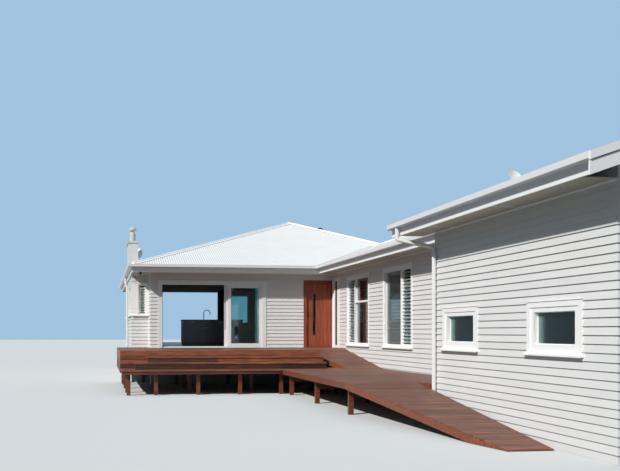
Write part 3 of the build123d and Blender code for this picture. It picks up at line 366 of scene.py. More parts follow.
# Nodes that differ from their slot: the sea side of the room, its ceiling and the frame of its
# sea door are dark as painted shade, and the rolls on the hips and ridges are painted paler than the
# iron as painted light
finishFor = {
    "rear_door_frame": shadeAluminium,
    "north_wall_piers": roomShadePaint,
    "door_head_walls": roomShadePaint,
    "ceiling": ceilingShadeBoards,
    "roof_caps": litCapPaint,
}


def dressFrame():
    finishes = {
        part["node"]: finishOf[part["material_slot"]] for part in frame["record"]["subparts"]
    }
    finishes.update(finishFor)
    for name, made in finishes.items():
        materials = frame["nodes"][name].data.materials
        materials.clear()
        materials.append(made)


def makeFloor():
    mesh = bpy.data.meshes.new("floorMesh")
    shape = bmesh.new()
    bmesh.ops.create_grid(shape, x_segments=1, y_segments=1, size=lightSet["floorSize"])
    bmesh.ops.translate(shape, verts=shape.verts, vec=(0, 0, -lightSet["floorBelow"]))
    shape.to_mesh(mesh)
    shape.free()
    ground = bpy.data.objects.new("studioFloor", mesh)
    bpy.context.scene.collection.objects.link(ground)
    # Pale to the eye, with less light thrown back on the walls
    made, shader = startMaterial("floorPaint", 1.0)
    shader.inputs["Base Color"].default_value = (*lightSet["floorColour"], 1)
    shader.inputs["Specular IOR Level"].default_value = 0.0
    bounce = addNode(made, "BsdfDiffuse", Color=(*lightSet["floorBounce"], 1))
    surface = mixShaders(made, seenRays(made), bounce, shader)
    made.node_tree.links.new(surface, made.node_tree.nodes["Material Output"].inputs["Surface"])
    mesh.materials.append(made)


# Shared mesh helpers

hair = 0.001  # lengths that differ by less count as the same
creaseAngle = math.radians(40)


# Corners of each separate solid in a CAD node, from near to far
def solidsOf(name):
    shape = bmesh.new()
    shape.from_mesh(frame["nodes"][name].data)
    bmesh.ops.remove_doubles(shape, verts=shape.verts, dist=0.00002)
    waiting, found = set(shape.verts), []
    while waiting:
        reached = [waiting.pop()]
        island = list(reached)
        while reached:
            for link in reached.pop().link_edges:
                for vert in link.verts:
                    if vert in waiting:
                        waiting.discard(vert)
                        reached.append(vert)
                        island.append(vert)
        found.append([v.co.copy() for v in island])
    shape.free()
    return sorted(found, key=lambda points: tuple(min(p[i] for p in points) for i in (1, 0, 2)))


# Lowest and highest corner of each separate solid
def boxesOf(name):
    boxes = []
    for points in solidsOf(name):
        xs, ys, zs = zip(*points)
        boxes.append((Vector((min(xs), min(ys), min(zs))), Vector((max(xs), max(ys), max(zs)))))
    return boxes


# The axis that a box is longest along on plan, 0 for X and 1 for Y
def longAxis(low, high):
    return 0 if high.x - low.x > high.y - low.y else 1


# A box between two opposite corners
def addBox(shape, first, last):
    low = Vector([min(pair) for pair in zip(first, last)])
    high = Vector([max(pair) for pair in zip(first, last)])
    matrix = Matrix.Translation((low + high) / 2) @ Matrix.Diagonal((*(high - low), 1))
    return bmesh.ops.create_cube(shape, size=1, matrix=matrix)["verts"]


# Two corners from the reach across a wall, the reach along it and the levels. thin is the
# axis that crosses the wall, 0 for X and 1 for Y.
def slabCorners(thin, across, along, levels):
    corners = [Vector((0, 0, level)) for level in levels]
    for point, a, b in zip(corners, across, along):
        point[thin], point[1 - thin] = a, b
    return corners


def addSlab(shape, thin, across, along, levels):
    return addBox(shape, *slabCorners(thin, across, along, levels))


# A bar between two points, its section set by the directions across and up
def addBar(shape, start, end, across, up, width, height):
    start, end = Vector(start), Vector(end)
    across, up = Vector(across).normalized(), Vector(up).normalized()
    if (end - start).cross(across).dot(up) < 0:
        across = -across
    matrix = Matrix((end - start, across * width, up * height)).transposed().to_4x4()
    matrix.translation = (start + end) / 2
    return bmesh.ops.create_cube(shape, size=1, matrix=matrix)["verts"]


# An upright round bar or disc standing on a point
def addDisc(shape, centre, radius, height, segments=16, topRadius=None):
    matrix = Matrix.Translation(Vector(centre) + Vector((0, 0, height / 2)))
    return bmesh.ops.create_cone(
        shape, cap_ends=True, segments=segments, radius1=radius,
        radius2=radius if topRadius is None else topRadius, depth=height, matrix=matrix,
    )["verts"]


def roundOff(shape, edges, size, segments=1):
    bmesh.ops.bevel(
        shape, geom=edges, offset=size, offset_type="OFFSET",
        segments=segments, profile=0.5, affect="EDGES", material=-1,
    )


# Takes off what lies on the side of a plane that away points to, and closes the cut
def cutBy(shape, point, away, close=True):
    geometry = shape.verts[:] + shape.edges[:] + shape.faces[:]
    cut = bmesh.ops.bisect_plane(
        shape, geom=geometry, dist=0.000001, plane_co=point, plane_no=away, clear_outer=True
    )["geom_cut"]
    edges = [e for e in cut if isinstance(e, bmesh.types.BMEdge) and e.is_boundary]
    if edges and close:
        bmesh.ops.holes_fill(shape, edges=edges, sides=0)


# A plan line through two points, with its normal pointing away from a kept point
def awayFrom(start, end, keep):
    (ax, ay), (bx, by) = start, end
    nx, ny = by - ay, ax - bx
    length = math.hypot(nx, ny)
    side = (keep[0] - ax) * nx + (keep[1] - ay) * ny
    factor = -1 / length if side > 0 else 1 / length
    return (ax, ay), (nx * factor, ny * factor)


# A plan line as a point and a normal in space
def onPlan(cut):
    return (*cut[0], 0), (*cut[1], 0)


# A plan line moved to the kept side
def setBack(cut, distance):
    (px, py), (nx, ny) = cut
    return (px - nx * distance, py - ny * distance), (nx, ny)


# Cuts a mesh to the inside of a convex outline on plan, pulled in by a margin
def trimTo(shape, outline, margin=0.0):
    middle = sum((Vector(p) for p in outline), Vector((0, 0))) / len(outline)
    for start, end in zip(outline, outline[1:] + outline[:1]):
        cutBy(shape, *onPlan(setBack(awayFrom(start, end, middle), margin)))


def rectangle(x0, x1, y0, y1):
    return [(x0, y0), (x1, y0), (x1, y1), (x0, y1)]


# Adds one mesh under construction to another and frees it
def joinInto(target, shape):
    mesh = bpy.data.meshes.new("joined")
    shape.to_mesh(mesh)
    shape.free()
    target.from_mesh(mesh)
    bpy.data.meshes.remove(mesh)


# One tone for all the faces of a board, for its material to read
def setTone(shape, verts, tone):
    layers = shape.faces.layers.float
    layer = layers.get("boardTone") or layers.new("boardTone")
    for face in {f for v in verts for f in v.link_faces}:
        face[layer] = tone


def giveTone(shape, verts, generator):
    setTone(shape, verts, generator.random())


# A box with rounded edges, and with a random tone where a generator is given. chosen picks
# the edges to round from the two ends of each.
def addBoard(target, first, last, rounding, chosen=None, generator=None, segments=1):
    board = bmesh.new()
    addBox(board, first, last)
    edges = [e for e in board.edges if chosen is None or chosen(*(v.co for v in e.verts))]
    roundOff(board, edges, rounding, segments)
    if generator:
        giveTone(board, board.verts, generator)
    joinInto(target, board)


# Turns the mesh under construction into a piece that rides on a body
def finishPiece(shape, name, material, body="house", smooth=False):
    if smooth:
        for edge in shape.edges:
            edge.smooth = len(edge.link_faces) == 2 and edge.calc_face_angle(0) < creaseAngle
    mesh = bpy.data.meshes.new(name)
    shape.to_mesh(mesh)
    shape.free()
    for polygon in mesh.polygons:
        polygon.use_smooth = smooth
    piece = bpy.data.objects.new(name, mesh)
    bpy.context.scene.collection.objects.link(piece)
    mesh.materials.append(material)
    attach(piece, body)
    return piece


# Panes whose look changes along them

paneSet = {
    "eastShade": (0.10, 0.13, 0.14),
    "eastDepth": 0.4,  # the panes this near the east face are tinted
    "eastFade": 0.01,
    "revealLightWidth": 0.24,  # from the far edge of an obscure pane, where its lit reveal shows
    "revealLightColour": (0.42, 0.60, 0.53),
    "revealLightClearness": 0.62,
    "obscureIor": 1.25,  # little of the sky mirrored in the rough face
}


def dressPanes():
    shader = clearGlass.node_tree.nodes["Principled BSDF"]
    clear = tuple(shader.inputs["Base Color"].default_value)
    # Painted shade: panes this near the east face are darkened, so the room beyond them reads dark
    edge = eastFace - paneSet["eastDepth"]
    share = ranged(clearGlass, coordinate(clearGlass, "X"), edge, edge + paneSet["eastFade"])
    tinted = mixColours(clearGlass, share, clear, (*paneSet["eastShade"], 1))
    colourInto(clearGlass, shader, tinted)
    # The pattern repeats from the first near window to the second
    near = [pane for pane in boxesOf("near_window_glass") if pane[0].x < nearWall[0].x + wallZone]
    first, second = near[:2]
    along = maths(obscureGlass, "SUBTRACT", coordinate(obscureGlass, "Y"), first[0].y)
    along = maths(obscureGlass, "MODULO", along, second[0].y - first[0].y)
    width = first[1].y - first[0].y
    # Painted light: a paler, clearer band along the far edge of each obscure pane stands in for its lit
    # reveal
    revealLight = ranged(obscureGlass, along, width - paneSet["revealLightWidth"], width, shape="SMOOTHSTEP")
    shader = obscureGlass.node_tree.nodes["Principled BSDF"]
    shader.inputs["IOR"].default_value = paneSet["obscureIor"]
    deep = tuple(shader.inputs["Base Color"].default_value)
    lit = (*paneSet["revealLightColour"], 1)
    colourInto(obscureGlass, shader, mixColours(obscureGlass, revealLight, deep, lit))
    clearness = ranged(obscureGlass, revealLight, 0, 1, 1.0, paneSet["revealLightClearness"])
    obscureGlass.node_tree.links.new(clearness, shader.inputs["Transmission Weight"])


# Places read from the frame

hallWall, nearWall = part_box("hall_wall"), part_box("near_wall")
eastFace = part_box("east_wall")[1].x
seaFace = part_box("north_wall_piers")[1].y
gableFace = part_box("near_gable_wall")[0].y
hallEnd = hallWall[0].y
bayFront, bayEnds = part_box("bay_front_wall"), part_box("bay_side_walls")
wallZone = 1.0  # what stands further in than this from a face belongs to another wall
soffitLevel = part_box("soffits")[0].z
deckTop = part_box("main_deck")[1].z
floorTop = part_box("floor")[1].z
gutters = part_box("gutters")
lipLevel = gutters[1].z
lipOut = corner.x - gutters[0].x
nearLip, hallLip = nearWall[0].x - lipOut, hallWall[0].x - lipOut
nearRidge = (nearLip + gutters[1].x) / 2
hallRidge = (hallLip + gutters[1].x) / 2
roofBase = lipLevel - 0.040  # the roof planes pass this far under the gutter lip
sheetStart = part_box("main_roof")[0].x - gutters[0].x  # from the lip to the sheets' lower edge
roofRise = (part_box("near_roof")[1].z - roofBase) / (nearRidge - nearLip)
apex = max((v.co for v in frame["nodes"]["main_roof"].data.vertices), key=lambda c: c.z).copy()


# Weatherboards

boardSet = {
    "cover": 0.1186,
    "thickBottom": 0.029,
    "thickTop": 0.006,
    "smallest": 0.004,
    "sillEnd": 0.030,  # of a sill past the side of its window
    "cornerReach": 0.05,
    "raking": 0.072,  # roof and lining over the gable wall
    "seed": 4,
}
# How far a wall is turned, and whether it runs with its axis or against it
facing = {"south": (0, 1), "east": (90, 1), "north": (180, -1), "west": (-90, -1)}


# The stretches between start and end that no opening covers between two levels
def openSpans(start, end, low, high, openings):
    spans = [(start, end)]
    for a, b, z0, z1 in openings:
        if z1 > low + hair and z0 < high - hair:
            spans = [(s, min(e, a)) for s, e in spans] + [(max(s, b), e) for s, e in spans]
            spans = [(s, e) for s, e in spans if e - s > boardSet["smallest"]]
    return spans


# Weatherboards on one wall, with a mitre at an end that meets an outside corner. side is
# where the wall faces, plane its face, and start and end run along it.
def boardWall(target, side, plane, start, end, bottom, top, openings=(), mitres=(0, 0), cuts=()):
    angle, sign = facing[side]
    if sign < 0:
        start, end = -end, -start
        openings = [(-b, -a, z0, z1) for a, b, z0, z1 in openings]
        mitres = mitres[::-1]
    wall = bmesh.new()
    cover, butt, tip = boardSet["cover"], boardSet["thickBottom"], boardSet["thickTop"]
    reach = boardSet["cornerReach"]
    first, last = start - reach * mitres[0], end + reach * mitres[1]
    generator = random.Random(boardSet["seed"] + len(side) + int(plane * 10))
    level = math.floor(bottom / cover + hair) * cover
    while level < top - 2 * hair:
        marks = {max(level, bottom), min(level + cover, top)}
        for a, b, z0, z1 in openings:
            marks.update(z for z in (z0, z1) if min(marks) + hair < z < max(marks) - hair)
        marks = sorted(marks)
        for low, high in zip(marks, marks[1:]):
            for s, e in openSpans(first, last, low, high, openings):
                verts = addBox(wall, (s, -1, low), (e, 0, high))
                for vert in verts:
                    if vert.co.y < 0:  # the front, which slopes
                        vert.co.y = -butt + (butt - tip) * (vert.co.z - level) / cover
                giveTone(wall, verts, generator)
        level += cover
    if mitres[0]:
        cutBy(wall, (start, 0, 0), (-1, 1, 0))
    if mitres[1]:
        cutBy(wall, (end, 0, 0), (1, 1, 0))
    place = (0, plane, 0) if side in ("south", "north") else (plane, 0, 0)
    matrix = Matrix.Translation(place) @ Matrix.Rotation(math.radians(angle), 4, "Z")
    bmesh.ops.transform(wall, matrix=matrix, verts=wall.verts)
    for point, away in cuts:
        cutBy(wall, point, away)
    joinInto(target, wall)


# The part of a wall that each window of a node covers, without the ends of its sill
def windowHoles(name, axis, keep=None):
    end = boardSet["sillEnd"]
    return [
        (low[axis] + end, high[axis] - end, low.z, high.z)
        for low, high in boxesOf(name)
        if keep is None or keep(low, high)
    ]


def makeWeatherboards():
    target = bmesh.new()
    x, y = 0, 1
    slider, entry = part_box("slider_frame"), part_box("entry_frame")
    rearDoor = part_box("rear_door_frame")
    bayWest, bayNear, bayFar = bayFront[0].x, bayEnds[0].y, bayEnds[1].y
    doors = [(slider[0].x, slider[1].x, 0, slider[1].z), (entry[0].x, entry[1].x, 0, entry[1].z)]
    top = soffitLevel
    boardWall(target, "south", corner.y, corner.x, hallWall[0].x, deckTop, top, doors, (1, 0))
    boardWall(target, "west", corner.x, corner.y, bayNear, deckTop, top, (), (1, 0))
    boardWall(target, "west", corner.x, bayFar, seaFace, 0, top, (), (0, 1))
    bayLights = windowHoles("bay_window_frames", y, lambda low, high: low.x < bayWest)
    sideLight = windowHoles("bay_window_frames", x, lambda low, high: low.y < bayNear)
    boardWall(target, "south", bayNear, bayWest, corner.x, deckTop, top, sideLight, (1, 0))
    boardWall(target, "west", bayWest, bayNear, bayFar, 0, top, bayLights, (1, 1))
    boardWall(target, "north", bayFar, bayWest, corner.x, 0, top, (), (1, 0))
    rear = [(rearDoor[0].x, rearDoor[1].x, deckTop, top)]
    rear += windowHoles("rear_window_frames", x, lambda low, high: high.y > seaFace)
    boardWall(target, "north", seaFace, corner.x, eastFace, 0, top, rear, (1, 1))
    east = windowHoles("rear_window_frames", y, lambda low, high: high.x > eastFace)
    boardWall(target, "east", eastFace, gableFace, seaFace, 0, top, east, (1, 1))
    hall = windowHoles("hall_window_frames", y)
    boardWall(target, "west", hallWall[0].x, hallEnd, corner.y, 0, top, hall)
    near = windowHoles("near_window_frames", y)
    boardWall(target, "west", nearWall[0].x, gableFace, hallEnd, 0, top, near, (1, 1))
    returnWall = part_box("near_return_wall")
    boardWall(target, "north", hallEnd, nearWall[0].x, returnWall[1].x, 0, top, (), (1, 0))
    # The near gable is cut to the slopes of its roof
    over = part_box("near_roof")[1].z
    ridgePoint = (nearRidge, gableFace, over - boardSet["raking"])
    slopes = [(ridgePoint, (-roofRise, 0, 1)), (ridgePoint, (roofRise, 0, 1))]
    boardWall(
        target, "south", gableFace, nearWall[0].x, eastFace, 0, over, (), (1, 1), slopes
    )
    piece = finishPiece(target, "weatherboards", boardPaint)
    print("weatherboards:", len(piece.data.polygons), "faces")


# Corrugated iron

ironSet = {
    "pitch": 0.0762,
    "depth": 0.017,
    "steps": 8,  # facets in one corrugation
    "gauge": 0.002,
    "seat": 0.001,
    "valleyHalf": 0.07,
    "screwRow": 0.9,
    "screwStep": 3,  # corrugations from one screw to the next
    "screwRadius": 0.009,
    "screwHeight": 0.006,
    "screwFromCut": 0.10,
}


# A corrugated sheet on one slope. start lies on plan under the gutter lip, along runs level
# for a length, and inward runs up the slope on plan as far as last. cuts lists plan lines as
# (point, away), and what away points to is taken off.
def ironSlope(target, screws, start, along, inward, length, last, rise, cuts):
    waves = max(1, round(length / ironSet["pitch"]))
    origin = Vector((*start, roofBase))
    along, inward = Vector((*along, 0)), Vector((*inward, 0))
    addScrews(screws, origin, along, inward, length, waves, last, rise, cuts)
    sheet = bmesh.new()
    columns = waves * ironSet["steps"]
    bmesh.ops.create_grid(sheet, x_segments=columns, y_segments=1, size=0.5)
    for vert in sheet.verts:
        u = (vert.co.x + 0.5) * length
        v = sheetStart + (vert.co.y + 0.5) * (last - sheetStart)
        wave = math.cos(2 * math.pi * u / length * waves)
        lift = ironSet["seat"] + ironSet["depth"] / 2 * (1 + wave)
        vert.co = origin + along * u + inward * v + Vector((0, 0, rise * v + lift))
    for cut in cuts:
        cutBy(sheet, *onPlan(cut), close=False)
    bmesh.ops.recalc_face_normals(sheet, faces=sheet.faces)
    if sheet.faces and sheet.faces[0].normal.z < 0:
        bmesh.ops.reverse_faces(sheet, faces=sheet.faces)
    bmesh.ops.solidify(sheet, geom=sheet.faces[:], thickness=ironSet["gauge"])
    joinInto(target, sheet)


# Rows of roofing screws on the crests of one slope, clear of its cuts
def addScrews(target, origin, along, inward, length, waves, last, rise, cuts):
    apart, crest = ironSet["screwFromCut"], ironSet["seat"] + ironSet["depth"]
    row = sheetStart + ironSet["screwRow"] / 2
    while row < last - apart:
        for wave in range(1, waves, ironSet["screwStep"]):
            lift = Vector((0, 0, rise * row + crest))
            place = origin + along * (length * wave / waves) + inward * row + lift
            if all((place.xy - Vector(point)).dot(Vector(away)) < -apart for point, away in cuts):
                addDisc(target, place, ironSet["screwRadius"], ironSet["screwHeight"], 6)
        row += ironSet["screwRow"]


def makeRoofIron():
    west, east = gutters[0].x, gutters[1].x
    south, north = corner.y - lipOut, gutters[1].y
    nearSouth, nearNorth = (point.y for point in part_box("near_roof"))
    top = (apex.x, apex.y)
    hips = {
        "sw": ((west, south), top),
        "nw": ((west, north), top),
        "ne": ((east, north), top),
        "se": ((east, south), top),
    }
    height = apex.z - roofBase
    eastRise = height / (east - apex.x)
    southRise, northRise = height / (apex.y - south), height / (north - apex.y)
    # Points on the four slopes of the main roof
    westIn, eastIn = (west + 1, apex.y), (east - 1, apex.y)
    southIn, northIn = (apex.x, apex.y - 1), (apex.x, north - 1)
    # The hall roof runs into the entrance slope on two valleys
    valleyTop = (hallRidge, south + (hallRidge - hallLip))
    valleyWest, valleyEast = ((hallLip, south), valleyTop), ((east, south), valleyTop)
    back = ironSet["valleyHalf"]
    sheets, screws = bmesh.new(), bmesh.new()
    ironSlope(
        sheets, screws, (west, north), (0, -1), (1, 0), north - south, apex.x - west, roofRise,
        [awayFrom(*hips["sw"], westIn), awayFrom(*hips["nw"], westIn)],
    )
    ironSlope(
        sheets, screws, (east, south), (0, 1), (-1, 0), north - south, east - apex.x, eastRise,
        [awayFrom(*hips["se"], eastIn), awayFrom(*hips["ne"], eastIn)],
    )
    ironSlope(
        sheets, screws, (east, north), (-1, 0), (0, -1), east - west, north - apex.y, northRise,
        [awayFrom(*hips["nw"], northIn), awayFrom(*hips["ne"], northIn)],
    )
    # The entrance slope, each side of the hall ridge
    for cuts in (
        [
            awayFrom(*hips["sw"], southIn),
            setBack(awayFrom(*valleyWest, (west + 2, south + 1)), back),
            ((hallRidge, 0), (1, 0)),
            awayFrom(*hips["se"], southIn),
        ],
        [
            awayFrom(*hips["se"], southIn),
            setBack(awayFrom(*valleyEast, (east, apex.y)), back),
            ((hallRidge, 0), (-1, 0)),
        ],
    ):
        ironSlope(
            sheets, screws, (west, south), (1, 0), (0, 1), east - west, apex.y - south, southRise, cuts
        )
    finishPiece(sheets, "mainRoofIron", ironPaint, smooth=True)
    sheets = bmesh.new()
    hallIn = (hallRidge, nearNorth)
    ironSlope(
        sheets, screws, (hallLip, valleyTop[1]), (0, -1), (1, 0), valleyTop[1] - hallEnd,
        hallRidge - hallLip, roofRise, [setBack(awayFrom(*valleyWest, hallIn), back)],
    )
    ironSlope(
        sheets, screws, (east, nearNorth), (0, 1), (-1, 0), valleyTop[1] - nearNorth,
        east - hallRidge, roofRise, [setBack(awayFrom(*valleyEast, hallIn), back)],
    )
    finishPiece(sheets, "hallRoofIron", ironPaint, smooth=True)
    sheets = bmesh.new()
    nearLength = nearNorth - nearSouth
    ironSlope(
        sheets, screws, (nearLip, nearNorth), (0, -1), (1, 0), nearLength,
        nearRidge - nearLip, roofRise, [],
    )
    ironSlope(
        sheets, screws, (east, nearSouth), (0, 1), (-1, 0), nearLength,
        east - nearRidge, roofRise, [],
    )
    finishPiece(sheets, "nearRoofIron", ironPaint, smooth=True)
    finishPiece(screws, "roofScrews", steel)
    normals = {
        "s": (0, -southRise, 1),
        "n": (0, northRise, 1),
        "w": (-roofRise, 0, 1),
        "e": (eastRise, 0, 1),
    }
    makeFlashings(hips, normals, valleyTop[1])
    print("roof iron done")


flashingSet = {
    "wing": 0.145,
    "gauge": 0.003,
    "eaveOut": 0.65,  # the sheets reach this far past the walls
    "fromEave": 0.06,
    "fromEdge": 0.004,
    "ridgeLap": 0.22,
    "endGap": 0.01,
}


# The two flat wings of a hip or ridge flashing, each on the crests of one slope
def addFlashing(target, start, end, normals):
    start, end = Vector(start), Vector(end)
    wing, gauge = flashingSet["wing"], flashingSet["gauge"]
    lift = ironSet["seat"] + ironSet["depth"] + gauge
    for normal, other in (normals, normals[::-1]):
        normal, other = Vector(normal).normalized(), Vector(other).normalized()
        across = normal.cross(end - start).normalized()
        if across.dot(other) > 0:
            across = -across
        shift = across * wing / 2 + normal * lift
        addBar(target, start + shift, end + shift, across, normal, wing, gauge)


def makeFlashings(hips, normals, hallRidgeEnd):
    target = bmesh.new()
    inset = lipOut - flashingSet["eaveOut"] + flashingSet["fromEave"]
    for name, (foot, top) in hips.items():
        foot, top = Vector((*foot, roofBase)), Vector((*top, apex.z))
        start = foot + (top - foot) * inset / abs(top.x - foot.x)
        addFlashing(target, start, top, (normals[name[0]], normals[name[1]]))
    low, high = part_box("main_roof")
    trimTo(target, rectangle(low.x, high.x, low.y, high.y), flashingSet["fromEdge"])
    low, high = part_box("near_roof")
    gap = flashingSet["endGap"]
    hallTop = roofBase + roofRise * (hallRidge - hallLip)
    for x, start, end, level in (
        (hallRidge, high.y + 2 * gap, hallRidgeEnd - flashingSet["ridgeLap"], hallTop),
        (nearRidge, low.y + gap, high.y - gap, high.z),
    ):
        slopes = (-roofRise, 0, 1), (roofRise, 0, 1)
        addFlashing(target, (x, start, level), (x, end, level), slopes)
    finishPiece(target, "roofFlashings", litCapPaint)


# Deck boards, on rims and joists that fill the depth of the deck's solids

deckSet = {
    "width": 0.090,
    "gap": 0.005,
    "thickness": 0.025,
    "treadThickness": 0.040,
    "rounding": 0.003,
    "longest": 4.8,
    "shortest": (0.3, 0.6),  # share of the longest, for the first board of a row and the others
    "lastShortest": 0.6,
    "buttGap": 0.003,
    "treadLap": 0.05,
    "rim": 0.040,
    "joistPitch": 0.45,
    "joistWidth": 0.045,
    "seed": 11,
}


# Boards along X that cover a box on plan, with butt joints staggered from row to row
def layBoards(target, x0, x1, y0, y1, thickness, generator):
    gap, butt, longest = deckSet["gap"], deckSet["buttGap"], deckSet["longest"]
    firstShare, nextShare = deckSet["shortest"]
    rows = max(1, round((y1 - y0 + gap) / (deckSet["width"] + gap)))
    pitch = (y1 - y0 + gap) / rows
    for row in range(rows):
        low = y0 + row * pitch
        places, here = [x0], x0 + generator.uniform(firstShare, 1.0) * longest
        while here < x1 - deckSet["lastShortest"]:
            places.append(here)
            here += generator.uniform(nextShare, 1.0) * longest
        for start, end in zip(places, places[1:] + [x1 + butt]):
            addBoard(
                target, (start, low, -thickness), (end - butt, low + pitch - gap, 0),
                deckSet["rounding"], lambda a, b: min(a.z, b.z) > -hair, generator,
            )


# One deck, tread or ramp of a convex outline, made flat and then set at its place and slope
def platform(target, outline, depth, generator, slope=0.0, pivot=(0, 0, 0), thickness=None):
    thickness = thickness or deckSet["thickness"]
    xs, ys = zip(*outline)
    made = bmesh.new()
    layBoards(made, min(xs), max(xs), min(ys), max(ys), thickness, generator)
    trimTo(made, outline)
    if depth > thickness:
        joists = bmesh.new()
        count = max(2, round((max(xs) - min(xs)) / deckSet["joistPitch"]))
        for i in range(1, count):
            x = min(xs) + (max(xs) - min(xs)) * i / count
            half = deckSet["joistWidth"] / 2
            addBox(joists, (x - half, min(ys), -depth), (x + half, max(ys), -thickness))
        trimTo(joists, outline, deckSet["rim"])
        joinInto(made, joists)
        rim = bmesh.new()
        face = rim.faces.new([rim.verts.new((x, y, -thickness)) for x, y in outline])
        bmesh.ops.recalc_face_normals(rim, faces=rim.faces)
        bmesh.ops.inset_region(
            rim, faces=[face], thickness=deckSet["rim"], use_even_offset=True, use_boundary=True
        )
        bmesh.ops.delete(rim, geom=[face], context="FACES")
        raised = bmesh.ops.extrude_face_region(rim, geom=rim.faces[:])["geom"]
        lower = [v for v in raised if isinstance(v, bmesh.types.BMVert)]
        bmesh.ops.translate(rim, verts=lower, vec=(0, 0, thickness - depth))
        bmesh.ops.recalc_face_normals(rim, faces=rim.faces)
        giveTone(rim, rim.verts, generator)
        joinInto(made, rim)
    matrix = Matrix.Translation(pivot) @ Matrix.Rotation(slope, 4, "X")
    bmesh.ops.transform(made, matrix=matrix, verts=made.verts)
    joinInto(target, made)


def makeMainDeck():
    generator = random.Random(deckSet["seed"])
    target = bmesh.new()
    low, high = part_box("main_deck")
    depth = high.z - low.z
    landing = max(boxesOf("main_deck"), key=lambda box: box[0].x)
    bayNear = bayEnds[0].y
    parts = (
        rectangle(low.x, landing[0].x, low.y, landing[0].y),
        rectangle(low.x, high.x, landing[0].y, corner.y),
        rectangle(low.x, corner.x, corner.y, bayNear),
    )
    for outline in parts:
        platform(target, outline, depth, generator, pivot=(0, 0, high.z))
    piece = finishPiece(target, "mainDeckBoards", deckTimber)
    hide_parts("main_deck")


def makeLowerDeck():
    generator = random.Random(deckSet["seed"] + 1)
    target = bmesh.new()
    for low, high in boxesOf("lower_deck"):
        outline = rectangle(low.x, high.x, low.y, high.y)
        platform(target, outline, high.z - low.z, generator, pivot=(0, 0, high.z))
    piece = finishPiece(target, "lowerDeckBoards", deckTimber)
    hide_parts("lower_deck")


# The treads: strips along the front, with returns along the west end of the lower two
def makeSteps():
    generator = random.Random(deckSet["seed"] + 2)
    target = bmesh.new()
    deckFront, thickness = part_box("main_deck")[0].y, deckSet["treadThickness"]
    lap = deckSet["treadLap"]
    treads = sorted(boxesOf("deck_steps"), key=lambda b: -b[1].z)
    eastEdge = treads[0][1].x
    for (low, high), above in zip(treads, [None] + treads[:-1]):
        back = above[0].y + lap if above else deckFront
        parts = [rectangle(low.x, eastEdge, low.y, back)]
        if above:
            parts.append(rectangle(low.x, above[0].x + lap, back, deckFront))
        if high.x > eastEdge + hair:
            parts.append([(eastEdge, low.y), (high.x, low.y), (eastEdge, high.y)])
        for outline in parts:
            platform(
                target, outline, thickness, generator, pivot=(0, 0, high.z), thickness=thickness
            )
    piece = finishPiece(target, "stepTreads", deckTimber)
    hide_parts("deck_steps")


def makeRamps():
    generator = random.Random(deckSet["seed"] + 3)
    target = bmesh.new()
    for points in solidsOf("ramps"):
        yTop, yFoot = max(p.y for p in points), min(p.y for p in points)
        head = [p for p in points if p.y > yTop - hair]
        foot = [p for p in points if p.y < yFoot + hair]
        top, toe = max(p.z for p in head), max(p.z for p in foot)
        slope = math.atan2(top - toe, yTop - yFoot)
        depth = (top - min(p.z for p in head)) * math.cos(slope)
        length = math.hypot(yTop - yFoot, top - toe)
        outline = [
            (min(p.x for p in foot), -length),
            (max(p.x for p in foot), -length),
            (max(p.x for p in head), 0),
            (min(p.x for p in head), 0),
        ]
        platform(target, outline, depth, generator, slope, (0, yTop, top))
    cutBy(target, (0, 0, 0), (0, 0, -1))  # the ramps end at the ground
    piece = finishPiece(target, "rampBoards", deckTimber)
    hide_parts("ramps")
    print("decks, steps and ramps boarded")


# Horizontal boards in place of the plain skirts and risers round the deck
skirtSet = {
    "board": 0.115,
    "gap": 0.009,
    "smallest": 0.045,
    "longest": 3.4,
    "shortest": 0.45,  # share of the longest
    "lastShortest": 0.5,
    "buttGap": 0.003,
    "backing": 0.011,
    "backingLap": 0.003,
    "seed": 21,
}


# A board from one corner to another, in lengths that butt where its run is long
def addLengths(target, low, high, generator):
    axis = longAxis(low, high)
    here = low[axis]
    while here < high[axis]:
        end = here + generator.uniform(skirtSet["shortest"], 1.0) * skirtSet["longest"]
        if end > high[axis] - skirtSet["lastShortest"]:
            end = high[axis]
        first, last = low.copy(), high.copy()
        first[axis] = here
        last[axis] = end if end == high[axis] else end - skirtSet["buttGap"]
        addBoard(
            target, first, last, deckSet["rounding"], lambda a, b: abs(a.z - b.z) < hair, generator
        )
        here = end


# A thin strip that closes the gap between two rows of boards, given the darkest tone as painted shade in
# the gap
def addBacking(target, low, high, bottom, top):
    thin = 1 - longAxis(low, high)
    lap = skirtSet["backingLap"]
    first, last = Vector((low.x, low.y, bottom - lap)), Vector((high.x, high.y, top + lap))
    first[thin] += skirtSet["backing"]
    last[thin] -= skirtSet["backing"]
    # Tone 0 is the darkest: painted shade behind the gap
    setTone(target, addBox(target, first, last), 0.0)


def makeSkirts():
    generator = random.Random(skirtSet["seed"])
    target = bmesh.new()
    for low, high in boxesOf("deck_skirts"):
        top = high.z
        while top > low.z + hair:
            foot = top - skirtSet["board"]
            if foot < low.z + skirtSet["smallest"]:
                foot = low.z
            addLengths(target, Vector((*low.xy, foot)), Vector((*high.xy, top)), generator)
            top = foot - skirtSet["gap"]
            if top > low.z:
                addBacking(target, low, high, top, foot)
    piece = finishPiece(target, "skirtBoards", frontTimber)
    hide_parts("deck_skirts")


